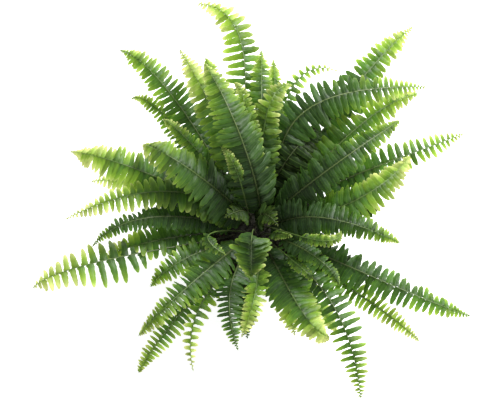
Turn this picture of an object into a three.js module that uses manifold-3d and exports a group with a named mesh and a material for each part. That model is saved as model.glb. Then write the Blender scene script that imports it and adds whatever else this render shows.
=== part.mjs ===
// A Boston fern in its grow pot, as it grows: pot, potting soil, the crown that the fronds rise
// from, each frond with its leaflets, and the young coiled fronds.
// Millimetres, +Z up. The origin is the middle of the pot's underside, +Y is the back of the plant.
import * as THREE from 'three';
import { mergeVertices } from 'three/addons/utils/BufferGeometryUtils.js';
import Module from 'manifold-3d';

const wasm = await Module();
wasm.setup();

const TOUCH_GAP = 0.3; // clearance of pieces that touch
const WELD = 1e-4; // corners nearer than this are one
const DEGREE = Math.PI / 180;
const UPRIGHT = new THREE.Vector3(0, 0, 1);

// Pot
const POT_HEIGHT = 150;
const POT_RIM_RADIUS = 95;
const POT_BASE_RADIUS = 66;
const POT_WALL = 2.4;
const POT_FLOOR = 3;
const BAND_HEIGHT = 20; // the thicker band below the rim
const BAND_STEP = 3; // how far the band stands out from the wall
const BAND_SHOULDER = 2.5; // height of the slope from the wall out to the band
const BAND_DRAFT = 0.8; // the band's foot is this much narrower than the rim
const RIM_EDGE = 1; // bevel at the rim's outer edge
const MOUTH_EDGE = 0.6; // bevel at its inner edge
const MOUTH_DEPTH = 2; // height of the inner bevel
const FOOT_EDGE = 1.5; // bevel round the underside
const POT_SIDES = 36;
const DRAIN_HOLES = 6;
const DRAIN_RADIUS = 5;
const DRAIN_RING = 42;
const DRAIN_SIDES = 10;

// Soil and crown
const SOIL_LEVEL = 133;
const SOIL_MOUND = 3; // the soil is this much higher at the crown than at the wall
const SOIL_SHOULDER = 0.3; // share of that fall on the inner half of the way
const CROWN_RADIUS = 46;
const CROWN_RISE = 21; // above the soil
const CROWN_SUNK = 15; // below the soil
const CROWN_SIDES = 18;
const CROWN_RINGS = 3;
const CROWN_LUMP = 1.6; // height of its lumps
const LUMPS_ROUND = 5;
const LUMPS_ACROSS = 3;

// Fronds
const SEAT_DEPTH = 9; // how deep a stalk stands in the crown
const HOLE_GROWTH = 1.42; // a stalk's hole is this much larger than the stalk
const HOLE_REACH = 14; // how far past the stalk's foot the cut runs, through the crown's top
const HOLE_POINT = 2;
const STALK_WIDTH = 3.6;
const STALK_DEPTH = 3.2;
const RIB_END_WIDTH = 1.3;
const RIB_END_DEPTH = 1.2;
const STALK_STEP = 32; // longest step along a bare stalk
const LAUNCH_SHARE = 0.4; // how far a rib keeps the stalk's lean, as a share of the way to its via point
const RIB_ROLL = 14; // most degrees that a frond rolls about its rib on the way to its tip
const VIA_SHARE = 0.6; // where on a rib its via point lies, unless the frond says otherwise
const LEAFLET_PITCH = 14;
const TIP_CROWDING = 1.2; // above 1, the leaflets crowd towards the tip
const LAST_LEAFLET = 0.985; // where the last ones end, as a share of the leafy rib
const LEAFLET_THICKNESS = 0.7;
const LEAFLET_SAG = 2; // how much the end of a leaflet of the next length hangs below its line
const SAG_LENGTH = 40;
const LEAFLET_CLEARANCE = 2.1; // between the middle surfaces of two leaflets
const RIB_CLEARANCE = 1.8; // between a leaflet's middle surface and another rib's side
const RIM_CLEARANCE = 3; // between a leaflet over the pot and the pot's side
const MOUTH_CLEARANCE = 2; // and the pot's top
const LOWEST_LEAF = 22; // above the surface that the pot stands on

// Lengths of the leaflets as shares of the frond's longest: the lowest ones, where on the leafy
// rib they are full-grown, the last ones, and how late and how bluntly they shorten to the tip.
const LOWEST_LENGTH = 0.62;
const FULL_FROM = 0.25;
const LAST_LENGTH = 0.1;
const TAPER_LATE = 1.9;
const TAPER_BLUNT = 0.92;

// Directions of the leaflets, in degrees, and how much lengths and directions are drawn apart.
const FORWARD_AT_FOOT = -6;
const FORWARD_GAIN = 26;
const DROOP = 17;
const LENGTH_SPREAD = 0.07;
const FORWARD_SPREAD = 3;
const DROOP_SPREAD = 7;
const FROND_DROOP_SPREAD = 6;

// A leaflet that would meet another frond is turned about its rib by the first of these angles
// that clears it, or else shortened as well.
const BENDS = [0, 9, -9, 18, -18, 28, -28, 40, -40];
const SHORTENINGS = [1, 0.82, 0.62, 0.42];

// Each frond: the bearing and distance of its foot on the crown, how far its stalk leans from
// upright (towards the same bearing, or another where one is given), a point that its rib passes
// and at which share of the way if not the usual one, its tip, its longest leaflet and the share
// of the rib that is bare stalk. Bearings are degrees from +X towards +Y, and heights are above the soil.
const FRONDS = [
  // back
  { bearing: 98, out: 33, towards: 161, lean: 35, via: [-19, 250, 133], at: 0.67,
    tip: [-93, 346, 95], leaflet: 42, bare: 0.2 },
  { bearing: 84, out: 40, lean: 28, via: [9, 133, 135], tip: [10, 263, 105], leaflet: 31, bare: 0.2 },
  { bearing: 76, out: 41, lean: 34, via: [28, 132, 115], tip: [29, 256, 85], leaflet: 24, bare: 0.25 },
  { bearing: 115, out: 27, towards: 107, lean: 15, via: [-42, 97, 170], at: 0.66,
    tip: [-118, 252, 140], leaflet: 39, bare: 0.12 },
  { bearing: 50, out: 11, lean: 8, via: [-22, 83, 225], tip: [-77, 207, 200], leaflet: 44, bare: 0.07 },
  { bearing: 105, out: 41, lean: 34, via: [-50, 158, 128],
    tip: [-78, 249, 108], leaflet: 26, bare: 0.25 },
  { bearing: 84, out: 19, lean: 10, via: [-10, 112, 193], tip: [-32, 178, 190], leaflet: 24, bare: 0.12 },
  { bearing: 76, out: 26, lean: 16, via: [16, 131, 165], at: 0.62,
    tip: [57, 189, 150], leaflet: 34, bare: 0.1 },
  { bearing: 68, out: 41, lean: 36, via: [58, 202, 100], at: 0.66,
    tip: [133, 239, 75], leaflet: 19, bare: 0.38 },
  // right
  { bearing: 54, out: 33, towards: 51, lean: 44, via: [125, 174, 142], at: 0.78,
    tip: [268, 197, 118], leaflet: 42, bare: 0.26 },
  { bearing: 51, out: 43, lean: 42, via: [144, 183, 112], tip: [254, 315, 75], leaflet: 37, bare: 0.2 },
  { bearing: 35, out: 42, lean: 42, via: [149, 127, 102], tip: [260, 205, 65], leaflet: 36, bare: 0.2 },
  { bearing: 16, out: 16, lean: 14, via: [112, 50, 170], tip: [223, 137, 135], leaflet: 34, bare: 0.07 },
  { bearing: 24, out: 41, towards: 30, lean: 42, via: [258, 98, 108], at: 0.76,
    tip: [328, 132, 85], leaflet: 34, bare: 0.2 },
  { bearing: -6, out: 31, lean: 24, via: [143, 3, 145], tip: [238, 85, 120], leaflet: 44, bare: 0.07 },
  { bearing: -18, out: 20, towards: -16, lean: 17, via: [97, -21, 150], at: 0.62,
    tip: [221, -51, 110], leaflet: 32, bare: 0.1 },
  { bearing: -30, out: 39, lean: 36, via: [199, -113, 110],
    tip: [330, -156, 70], leaflet: 37, bare: 0.12 },
  { bearing: -42, out: 26, lean: 16, via: [86, -79, 150], tip: [126, -119, 120], leaflet: 18, bare: 0.3 },
  { bearing: -40, out: 44, lean: 46, via: [159, -125, 82], tip: [253, -191, 45], leaflet: 27, bare: 0.2 },
  { bearing: -51, out: 37, towards: -59, lean: 44, via: [88, -107, 112], at: 0.49,
    tip: [160, -281, 55], leaflet: 33, bare: 0.24 },
  // front
  { bearing: -66, out: 33, lean: 26, via: [63, -151, 135], tip: [112, -193, 95], leaflet: 44, bare: 0.1 },
  { bearing: -61, out: 44, lean: 44, via: [82, -125, 80], tip: [127, -178, 48], leaflet: 28, bare: 0.24 },
  { bearing: -92, out: 14, lean: 10, via: [-5, -58, 197], at: 0.6,
    tip: [-6, -104, 112], leaflet: 33, bare: 0.62 },
  { bearing: -84, out: 40, lean: 36, via: [0, -124, 95], tip: [-21, -190, 78], leaflet: 25, bare: 0.24 },
  { bearing: -106, out: 38, towards: -104, lean: 31, via: [-37, -118, 105], at: 0.59,
    tip: [-26, -212, 90], leaflet: 29, bare: 0.2 },
  { bearing: -127, out: 29, towards: -113, lean: 26, via: [-98, -121, 135], at: 0.61,
    tip: [-176, -191, 95], leaflet: 35, bare: 0.07 },
  { bearing: -125, out: 43, lean: 45, via: [-127, -170, 80], at: 0.62,
    tip: [-179, -238, 35], leaflet: 28, bare: 0.2 },
  { bearing: -113, out: 43, towards: -103, lean: 42, via: [-75, -128, 85], at: 0.56,
    tip: [-95, -236, 40], leaflet: 22, bare: 0.24 },
  { bearing: -146, out: 43, lean: 42, via: [-107, -68, 80],
    tip: [-162, -106, 50], leaflet: 27, bare: 0.24 },
  // left
  { bearing: -157, out: 36, towards: -142, lean: 36, via: [-240, -82, 115], at: 0.64,
    tip: [-341, -114, 75], leaflet: 42, bare: 0.45 },
  { bearing: -170, out: 28, lean: 22, via: [-150, -18, 142],
    tip: [-248, -57, 110], leaflet: 25, bare: 0.09 },
  { bearing: -166, out: 43, lean: 42, via: [-146, -42, 95],
    tip: [-235, -65, 70], leaflet: 35, bare: 0.2 },
  { bearing: 174, out: 20, towards: 176, lean: 18, via: [-136, 17, 160], at: 0.65,
    tip: [-288, -19, 130], leaflet: 35, bare: 0.08 },
  { bearing: 163, out: 34, towards: 159, lean: 26, via: [-164, 48, 150], at: 0.59,
    tip: [-286, 93, 115], leaflet: 48, bare: 0.12 },
  { bearing: 150, out: 15, lean: 12, via: [-99, 41, 200], tip: [-170, 92, 155], leaflet: 44, bare: 0.08 },
  { bearing: 126, out: 41, lean: 34, via: [-124, 175, 120],
    tip: [-216, 271, 85], leaflet: 35, bare: 0.2 },
  { bearing: 139, out: 42, lean: 42, via: [-130, 145, 90],
    tip: [-198, 195, 65], leaflet: 23, bare: 0.24 },
  { bearing: 132, out: 27, lean: 20, via: [-88, 81, 160], tip: [-141, 137, 140], leaflet: 23, bare: 0.1 },
  // young fronds over the middle
  { bearing: 170, out: 7, towards: 190, lean: 4, via: [-33, 50, 196], at: 0.75,
    tip: [-51, 72, 208], leaflet: 12, bare: 0.66 },
  { bearing: -60, out: 18, lean: 10, via: [38, -36, 104], tip: [56, -42, 116], leaflet: 9, bare: 0.5 },
  { bearing: -30, out: 9, lean: 6, via: [84, -58, 165], at: 0.6,
    tip: [128, -42, 152], leaflet: 9, bare: 0.6 },
  { bearing: -130, out: 17, lean: 10, via: [-72, -46, 124], at: 0.74,
    tip: [-45, -71, 120], leaflet: 9, bare: 0.72 },
  { bearing: -59, out: 24, lean: 20, via: [63, -89, 132], tip: [83, -106, 125], leaflet: 9, bare: 0.6 },
  // low fronds that hang over the rim
  { bearing: 4, out: 43, lean: 54, via: [118, 10, 60], tip: [198, 24, 36], leaflet: 34, bare: 0.12 },
  { bearing: -18, out: 43, lean: 54, via: [112, -56, 56], tip: [186, -98, 30], leaflet: 32, bare: 0.12 },
  { bearing: -73, out: 43, lean: 52, via: [40, -112, 54], tip: [62, -178, 22], leaflet: 30, bare: 0.12 },
  { bearing: -97, out: 43, lean: 52, via: [-16, -114, 54],
    tip: [-12, -182, 20], leaflet: 30, bare: 0.12 },
  { bearing: 178, out: 43, lean: 54, via: [-114, 2, 58], tip: [-196, 4, 34], leaflet: 34, bare: 0.12 },
  { bearing: 156, out: 43, lean: 54, via: [-178, 54, 60], tip: [-259, 64, 46], leaflet: 33, bare: 0.12 },
  { bearing: 92, out: 42, lean: 50, via: [-14, 112, 60], tip: [-26, 188, 34], leaflet: 32, bare: 0.12 },
  { bearing: 43, out: 42, lean: 52, via: [86, 88, 56], tip: [142, 146, 30], leaflet: 32, bare: 0.12 },
  // dark inner fronds between the large ones and close over the crown
  { bearing: 67, out: 31, lean: 30, via: [48, 82, 100], tip: [100, 142, 86], leaflet: 36, bare: 0.1 },
  { bearing: 60, out: 43, lean: 48, via: [36, 98, 72], tip: [74, 178, 52], leaflet: 34, bare: 0.12 },
  { bearing: -100, out: 5, lean: 8, via: [8, -4, 96], at: 0.55,
    tip: [34, -28, 128], leaflet: 25, bare: 0.3 },
  { bearing: 120, out: 13, lean: 12, via: [-19, 5, 92], at: 0.55,
    tip: [-46, -14, 124], leaflet: 25, bare: 0.3 },
];

// Young fronds that are still coiled: foot on the crown, lean, height, coil radius and heading.
const COIL_TURNS = 1.45;
const COIL_STEPS = 13;
const COIL_TIGHTENING = 0.72; // share of the coil's radius that is gone at its end
const COIL_PAST_END = 1.04; // where the coil's point lies on the same spiral
const COIL_HALF_STEP = 0.01; // for the heading at a point of the spiral
const COIL_END_WIDTH = 2;
const COIL_END_DEPTH = 1.8;
const YOUNG_STALK_STEPS = 3;
const FIDDLEHEADS = [
  { bearing: 22, out: 29, lean: 14, height: 58, coil: 7, heading: 0 },
  { bearing: -85, out: 27, lean: 16, height: 58, coil: 6, heading: -70 },
];

const POT_COLOUR = 0x2d2a28;
const SOIL_COLOUR = 0x2e2119;
const CROWN_COLOUR = 0x4a3a22;
const FROND_COLOUR = 0x4d8a2a;
const YOUNG_COLOUR = 0x8db548;
const POT_ROUGHNESS = 0.55;
const SOIL_ROUGHNESS = 1;
const LEAF_ROUGHNESS = 0.45;

const DRAW_WAVES = [12.9898, 78.233, 37.719];
const DRAW_SCALE = 43758.5453;

// A repeatable draw from -1 to 1 for a frond, a leaflet and a purpose.
function draw(frond, leaflet, purpose) {
  const [byFrond, byLeaflet, byPurpose] = DRAW_WAVES;
  const wave = Math.sin(frond * byFrond + leaflet * byLeaflet + purpose * byPurpose) * DRAW_SCALE;
  return (wave - Math.floor(wave)) * 2 - 1;
}

function smooth(value) {
  const x = Math.min(Math.max(value, 0), 1);
  return x * x * (3 - 2 * x);
}

function onRing(bearing, radius, z) {
  const angle = bearing * DEGREE;
  return new THREE.Vector3(Math.cos(angle) * radius, Math.sin(angle) * radius, z);
}

// Height of the crown's top over the soil, at a distance from its middle and a bearing.
function crownHeight(distance, bearing) {
  const share = distance / CROWN_RADIUS;
  const dome = CROWN_RISE * Math.sqrt(Math.max(1 - share * share, 0));
  const round = Math.sin(LUMPS_ROUND * bearing * DEGREE);
  const lumps = round * Math.sin(LUMPS_ACROSS * Math.PI * share) * share;
  return dome + CROWN_LUMP * lumps;
}

// Solids

function toSolid(geometry) {
  const bare = geometry.clone();
  bare.deleteAttribute('normal');
  bare.deleteAttribute('uv');
  const merged = mergeVertices(bare, WELD);
  return new wasm.Manifold(new wasm.Mesh({
    numProp: 3,
    vertProperties: new Float32Array(merged.attributes.position.array),
    triVerts: new Uint32Array(merged.index.array),
  }));
}

function toGeometry(solid) {
  const mesh = solid.getMesh();
  const geometry = new THREE.BufferGeometry();
  geometry.setAttribute('position', new THREE.BufferAttribute(mesh.vertProperties, 3));
  geometry.setIndex(new THREE.BufferAttribute(mesh.triVerts, 1));
  return geometry;
}

// A profile of [radius, height] points turned about Z.
function turned(profile, sides) {
  const points = profile.map(([radius, height]) => new THREE.Vector2(radius, height));
  return new THREE.LatheGeometry(points, sides).rotateX(Math.PI / 2);
}

// Stations: a point of a stem with its heading, its left side and its upper side, and the
// three corners of its section there (left, right, keel).

function station(point, along, width, depth, roll = 0) {
  const side = UPRIGHT.clone().cross(along).normalize().applyAxisAngle(along, roll);
  return sectioned(point, along, side, width, depth);
}

function sectioned(point, along, side, width, depth) {
  const up = along.clone().cross(side);
  const corner = (across, over) => point.clone().addScaledVector(side, across).addScaledVector(up, over);
  return {
    point, along, side, up, width,
    left: corner(width / 2, depth / 3),
    right: corner(-width / 2, depth / 3),
    keel: corner(0, (-depth * 2) / 3),
  };
}

function footOf({ bearing, out }) {
  return onRing(bearing, out, SOIL_LEVEL + crownHeight(out, bearing));
}

function leanTowards(bearing, lean) {
  return onRing(bearing, Math.sin(lean * DEGREE), Math.cos(lean * DEGREE));
}

// The rib leaves its foot along the stalk's lean and passes through the frond's via point.
function ribOf(frond) {
  const foot = footOf(frond);
  const via = new THREE.Vector3(...frond.via).setZ(frond.via[2] + SOIL_LEVEL);
  const tip = new THREE.Vector3(...frond.tip).setZ(frond.tip[2] + SOIL_LEVEL);
  const launch = foot.distanceTo(via) * LAUNCH_SHARE;
  const lean = leanTowards(frond.towards ?? frond.bearing, frond.lean);
  const first = foot.clone().addScaledVector(lean, launch);
  const past = frond.at ?? VIA_SHARE;
  const left = 1 - past;
  const second = via.clone().addScaledVector(foot, -(left ** 3))
    .addScaledVector(first, -3 * left * left * past).addScaledVector(tip, -(past ** 3))
    .divideScalar(3 * left * past * past);
  return new THREE.CubicBezierCurve3(foot, first, second, tip);
}

// Length of a leaflet against the frond's longest, from the lowest leaflet (0) to the tip (1).
function leafletShape(share) {
  const growing = LOWEST_LENGTH + (1 - LOWEST_LENGTH) * smooth(share / FULL_FROM);
  return growing * (LAST_LENGTH + (1 - LAST_LENGTH) * (1 - share ** TAPER_LATE) ** TAPER_BLUNT);
}

function frondStations(frond, number) {
  const rib = ribOf(frond);
  const length = rib.getLength();
  const heading = rib.getTangentAt(0);
  const roll = RIB_ROLL * DEGREE * draw(number, 0, 1);
  const seat = rib.getPointAt(0).addScaledVector(heading, -SEAT_DEPTH);
  const stations = [station(seat, heading, STALK_WIDTH, STALK_DEPTH)];
  const put = (share) => {
    const width = THREE.MathUtils.lerp(STALK_WIDTH, RIB_END_WIDTH, share);
    const depth = THREE.MathUtils.lerp(STALK_DEPTH, RIB_END_DEPTH, share);
    stations.push(station(rib.getPointAt(share), rib.getTangentAt(share), width, depth, roll * share));
  };
  const stalkSteps = Math.ceil((length * frond.bare) / STALK_STEP);
  for (let step = 0; step < stalkSteps; step++) put((frond.bare * step) / stalkSteps);
  const firstLeaflet = stations.length;
  const pairs = Math.round((length * (1 - frond.bare)) / LEAFLET_PITCH);
  for (let pair = 0; pair <= pairs; pair++) {
    const share = 1 - (1 - pair / pairs) ** TIP_CROWDING;
    put(frond.bare + (1 - frond.bare) * share * LAST_LEAFLET);
  }
  return { stations, firstLeaflet, pairs, tip: rib.getPointAt(1) };
}

// Clearance. Leaflets are tested as triangles on their middle surface, ribs as round rods.

const CELL = 24;
const PARALLEL = 1e-9;
const grid = new Map();

function cellsOf(box) {
  const cells = [];
  for (let x = Math.floor(box.min.x / CELL); x <= Math.floor(box.max.x / CELL); x++) {
    for (let y = Math.floor(box.min.y / CELL); y <= Math.floor(box.max.y / CELL); y++) {
      for (let z = Math.floor(box.min.z / CELL); z <= Math.floor(box.max.z / CELL); z++) {
        cells.push(`${x},${y},${z}`);
      }
    }
  }
  return cells;
}

function boxOf(points, margin) {
  return new THREE.Box3().setFromPoints(points).expandByScalar(margin);
}

function remember(thing) {
  thing.box = boxOf(thing.points, LEAFLET_CLEARANCE);
  for (const cell of cellsOf(thing.box)) {
    if (!grid.has(cell)) grid.set(cell, []);
    grid.get(cell).push(thing);
  }
}

function rememberRib({ owner, stations, tip }) {
  const line = [...stations.map((at) => at.point), tip];
  line.slice(1).forEach((point, index) => remember({
    owner,
    points: [line[index], point],
    clearance: RIB_CLEARANCE + stations[index].width / 2,
  }));
}

function segmentDistance(a, b, c, d) {
  const u = b.clone().sub(a);
  const v = d.clone().sub(c);
  const w = a.clone().sub(c);
  const uu = u.dot(u);
  const vv = v.dot(v);
  const uv = u.dot(v);
  const uw = u.dot(w);
  const vw = v.dot(w);
  const spread = uu * vv - uv * uv;
  let s = spread > PARALLEL ? THREE.MathUtils.clamp((uv * vw - vv * uw) / spread, 0, 1) : 0;
  const t = THREE.MathUtils.clamp((uv * s + vw) / vv, 0, 1);
  s = THREE.MathUtils.clamp((uv * t - uw) / uu, 0, 1);
  return a.clone().addScaledVector(u, s).distanceTo(c.clone().addScaledVector(v, t));
}

function edgesOf(points) {
  return points.length === 2 ? [points]
    : points.map((point, index) => [point, points[(index + 1) % points.length]]);
}

function edgeMeetsTriangle([start, end], triangle, plane) {
  const point = plane.intersectLine(new THREE.Line3(start, end), new THREE.Vector3());
  return point !== null && triangle.containsPoint(point);
}

// The distance between two things, each a triangle or a segment, or 0 where they cross.
function distanceBetween(one, other) {
  let least = Infinity;
  for (const [flat, thin] of [[one, other], [other, one]]) {
    if (flat.points.length < 3) continue;
    const triangle = new THREE.Triangle(...flat.points);
    const plane = triangle.getPlane(new THREE.Plane());
    const near = new THREE.Vector3();
    if (edgesOf(thin.points).some((edge) => edgeMeetsTriangle(edge, triangle, plane))) return 0;
    for (const point of thin.points) {
      least = Math.min(least, triangle.closestPointToPoint(point, near).distanceTo(point));
    }
  }
  for (const [a, b] of edgesOf(one.points)) {
    for (const [c, d] of edgesOf(other.points)) least = Math.min(least, segmentDistance(a, b, c, d));
  }
  return least;
}

function isClear(leaflet) {
  const meetsPot = leaflet.points.some((point) => point.z < POT_HEIGHT + MOUTH_CLEARANCE
    && Math.hypot(point.x, point.y) < POT_RIM_RADIUS + RIM_CLEARANCE);
  if (meetsPot || leaflet.points.some((point) => point.z < LOWEST_LEAF)) return false;
  const box = boxOf(leaflet.points, 0);
  const seen = new Set();
  for (const cell of cellsOf(box)) {
    for (const thing of grid.get(cell) ?? []) {
      if (seen.has(thing) || thing.owner === leaflet.owner) continue;
      seen.add(thing);
      if (thing.box.intersectsBox(box) && distanceBetween(leaflet, thing) < thing.clearance) return false;
    }
  }
  return true;
}

// Where a leaflet's end lies. hand is 1 on the left of the rib and -1 on its right.
function leafletTip(from, to, hand, length, forward, droop) {
  const root = hand > 0 ? from.left.clone().add(to.left) : from.right.clone().add(to.right);
  const across = from.side.clone().multiplyScalar(hand * Math.cos(forward))
    .addScaledVector(from.along, Math.sin(forward));
  return root.multiplyScalar(0.5)
    .addScaledVector(across, length * Math.cos(droop))
    .addScaledVector(from.up, -length * Math.sin(droop))
    .addScaledVector(UPRIGHT, -LEAFLET_SAG * (length / SAG_LENGTH));
}

function placeLeaflet({ frond, number, owner }, from, to, pair, share, hand) {
  const key = pair * 2 + (hand > 0 ? 1 : 0);
  const fullLength = frond.leaflet * leafletShape(share) * (1 + LENGTH_SPREAD * draw(number, key, 2));
  const forward = (FORWARD_AT_FOOT + FORWARD_GAIN * share
    + FORWARD_SPREAD * draw(number, key, 3)) * DEGREE;
  const droop = DROOP + DROOP_SPREAD * draw(number, key, 4) + FROND_DROOP_SPREAD * draw(number, 0, 5);
  const innerEdge = (at) => (hand > 0 ? at.left : at.right).clone().add(at.keel).multiplyScalar(0.5);
  for (const shortening of SHORTENINGS) {
    for (const bend of BENDS) {
      const tip = leafletTip(from, to, hand, fullLength * shortening, forward, (droop + bend) * DEGREE);
      const leaflet = { owner, points: [innerEdge(from), innerEdge(to), tip] };
      if (isClear(leaflet)) {
        leaflet.clearance = LEAFLET_CLEARANCE;
        remember(leaflet);
        return tip;
      }
    }
  }
  return null;
}

// A stem as one closed mesh. Each step between two stations has a leaflet or a plain wall on
// each side, and the last station closes in a point.
function stemGeometry(stations, end, leaflets = []) {
  const positions = [];
  const indices = [];
  const vertex = (point) => positions.push(point.x, point.y, point.z) / 3 - 1;
  const face = (flip, a, b, c) => indices.push(...(flip ? [a, c, b] : [a, b, c]));
  const rings = stations.map((at) => [vertex(at.left), vertex(at.right), vertex(at.keel)]);
  rings.slice(1).forEach(([left, right, keel], step) => {
    const [backLeft, backRight, backKeel] = rings[step];
    face(false, backRight, right, left);
    face(false, backRight, left, backLeft);
    for (const hand of [1, -1]) {
      const flip = hand < 0;
      const near = flip ? backRight : backLeft;
      const far = flip ? right : left;
      const tip = leaflets[step]?.[flip ? 1 : 0];
      if (!tip) {
        face(flip, near, far, keel);
        face(flip, near, keel, backKeel);
        continue;
      }
      const low = underside(tip, stations[step], stations[step + 1], hand);
      const top = vertex(tip);
      const bottom = vertex(low);
      face(flip, near, far, top);
      face(flip, backKeel, bottom, keel);
      face(flip, near, top, bottom);
      face(flip, near, bottom, backKeel);
      face(flip, far, keel, bottom);
      face(flip, far, bottom, top);
    }
  });
  const [firstLeft, firstRight, firstKeel] = rings[0];
  const [lastLeft, lastRight, lastKeel] = rings[rings.length - 1];
  const point = vertex(end);
  face(false, firstLeft, firstKeel, firstRight);
  face(false, lastLeft, lastRight, point);
  face(false, lastLeft, point, lastKeel);
  face(false, lastRight, lastKeel, point);
  const geometry = new THREE.BufferGeometry();
  geometry.setAttribute('position', new THREE.Float32BufferAttribute(positions, 3));
  geometry.setIndex(indices);
  return geometry;
}

function underside(tip, from, to, hand) {
  const near = hand > 0 ? from.left : from.right;
  const far = hand > 0 ? to.left : to.right;
  const normal = far.clone().sub(near).cross(tip.clone().sub(near)).normalize();
  return tip.clone().addScaledVector(normal, -hand * LEAFLET_THICKNESS);
}

// Highest fronds choose first, so that the ones seen from above keep their own shape.
function addLeaflets(fronds) {
  const byHeight = [...fronds].sort((one, other) => other.frond.via[2] - one.frond.via[2]);
  for (const entry of byHeight) {
    const { stations, firstLeaflet, pairs } = entry;
    entry.leaflets = [];
    for (let pair = 0; pair < pairs; pair++) {
      const step = firstLeaflet + pair;
      const share = (pair + 0.5) / pairs;
      entry.leaflets[step] = [1, -1].map((hand) => placeLeaflet(
        entry, stations[step], stations[step + 1], pair, share, hand));
    }
  }
}

// The straight hole that a stalk stands in, cut from its seat out through the crown's top.
function seatHole(at) {
  const grown = (distance) => sectioned(at.point.clone().addScaledVector(at.along, distance),
    at.along, at.side, STALK_WIDTH * HOLE_GROWTH, STALK_DEPTH * HOLE_GROWTH);
  const outside = SEAT_DEPTH + HOLE_REACH;
  const end = at.point.clone().addScaledVector(at.along, outside + HOLE_POINT);
  return toSolid(stemGeometry([grown(-TOUCH_GAP), grown(outside)], end));
}

function fiddleheadStations(young) {
  const foot = footOf(young);
  const along = leanTowards(young.bearing, young.lean);
  const forward = onRing(young.heading, 1, 0);
  const side = UPRIGHT.clone().cross(forward);
  const put = (point, heading, share) => sectioned(point, heading,
    side.clone().addScaledVector(heading, -side.dot(heading)).normalize(),
    THREE.MathUtils.lerp(STALK_WIDTH, COIL_END_WIDTH, share),
    THREE.MathUtils.lerp(STALK_DEPTH, COIL_END_DEPTH, share));
  const stations = [put(foot.clone().addScaledVector(along, -SEAT_DEPTH), along, 0)];
  for (let step = 0; step < YOUNG_STALK_STEPS; step++) {
    const share = step / YOUNG_STALK_STEPS;
    stations.push(put(foot.clone().addScaledVector(along, young.height * share), along, share / 2));
  }
  const top = foot.clone().addScaledVector(along, young.height);
  const centre = top.clone().addScaledVector(forward, young.coil);
  const onCoil = (share) => {
    const radius = young.coil * (1 - COIL_TIGHTENING * share);
    const angle = Math.PI - share * COIL_TURNS * 2 * Math.PI;
    return centre.clone().addScaledVector(forward, Math.cos(angle) * radius)
      .addScaledVector(UPRIGHT, Math.sin(angle) * radius);
  };
  for (let step = 0; step <= COIL_STEPS; step++) {
    const share = step / COIL_STEPS;
    const heading = onCoil(share + COIL_HALF_STEP).sub(onCoil(share - COIL_HALF_STEP)).normalize();
    stations.push(put(onCoil(share), heading, 0.5 + share / 2));
  }
  return { stations, tip: onCoil(COIL_PAST_END) };
}

// Pot, soil and crown

function wallRadius(height) {
  return THREE.MathUtils.lerp(POT_BASE_RADIUS, POT_RIM_RADIUS - BAND_STEP, height / POT_HEIGHT);
}

function potGeometry() {
  const bandFoot = POT_HEIGHT - BAND_HEIGHT;
  const inner = (height) => wallRadius(height) - POT_WALL;
  const body = turned([
    [0, 0],
    [POT_BASE_RADIUS - FOOT_EDGE, 0],
    [wallRadius(FOOT_EDGE), FOOT_EDGE],
    [wallRadius(bandFoot), bandFoot],
    [POT_RIM_RADIUS - BAND_DRAFT, bandFoot + BAND_SHOULDER],
    [POT_RIM_RADIUS, POT_HEIGHT - RIM_EDGE],
    [POT_RIM_RADIUS - RIM_EDGE, POT_HEIGHT],
    [inner(POT_HEIGHT) + MOUTH_EDGE, POT_HEIGHT],
    [inner(POT_HEIGHT - MOUTH_DEPTH), POT_HEIGHT - MOUTH_DEPTH],
    [inner(POT_FLOOR), POT_FLOOR],
    [0, POT_FLOOR],
  ], POT_SIDES);
  let pot = toSolid(body);
  for (let hole = 0; hole < DRAIN_HOLES; hole++) {
    const place = onRing((360 * hole) / DRAIN_HOLES, DRAIN_RING, POT_FLOOR / 2);
    const drill = new THREE.CylinderGeometry(DRAIN_RADIUS, DRAIN_RADIUS, POT_FLOOR * 2, DRAIN_SIDES)
      .rotateX(Math.PI / 2).translate(place.x, place.y, place.z);
    pot = pot.subtract(toSolid(drill));
  }
  return toGeometry(pot);
}

function soilGeometry() {
  const foot = POT_FLOOR + TOUCH_GAP;
  // the sides of a faceted pot lie a little nearer to its axis than its corners do
  const inner = (height) => wallRadius(height) - POT_WALL - TOUCH_GAP;
  const recess = CROWN_RADIUS + TOUCH_GAP;
  return turned([
    [0, foot],
    [inner(foot), foot],
    [inner(SOIL_LEVEL - SOIL_MOUND), SOIL_LEVEL - SOIL_MOUND],
    [(recess + inner(SOIL_LEVEL)) / 2, SOIL_LEVEL - SOIL_MOUND * SOIL_SHOULDER],
    [recess, SOIL_LEVEL],
    [recess, SOIL_LEVEL - CROWN_SUNK - TOUCH_GAP],
    [0, SOIL_LEVEL - CROWN_SUNK - TOUCH_GAP],
  ], POT_SIDES);
}

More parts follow.
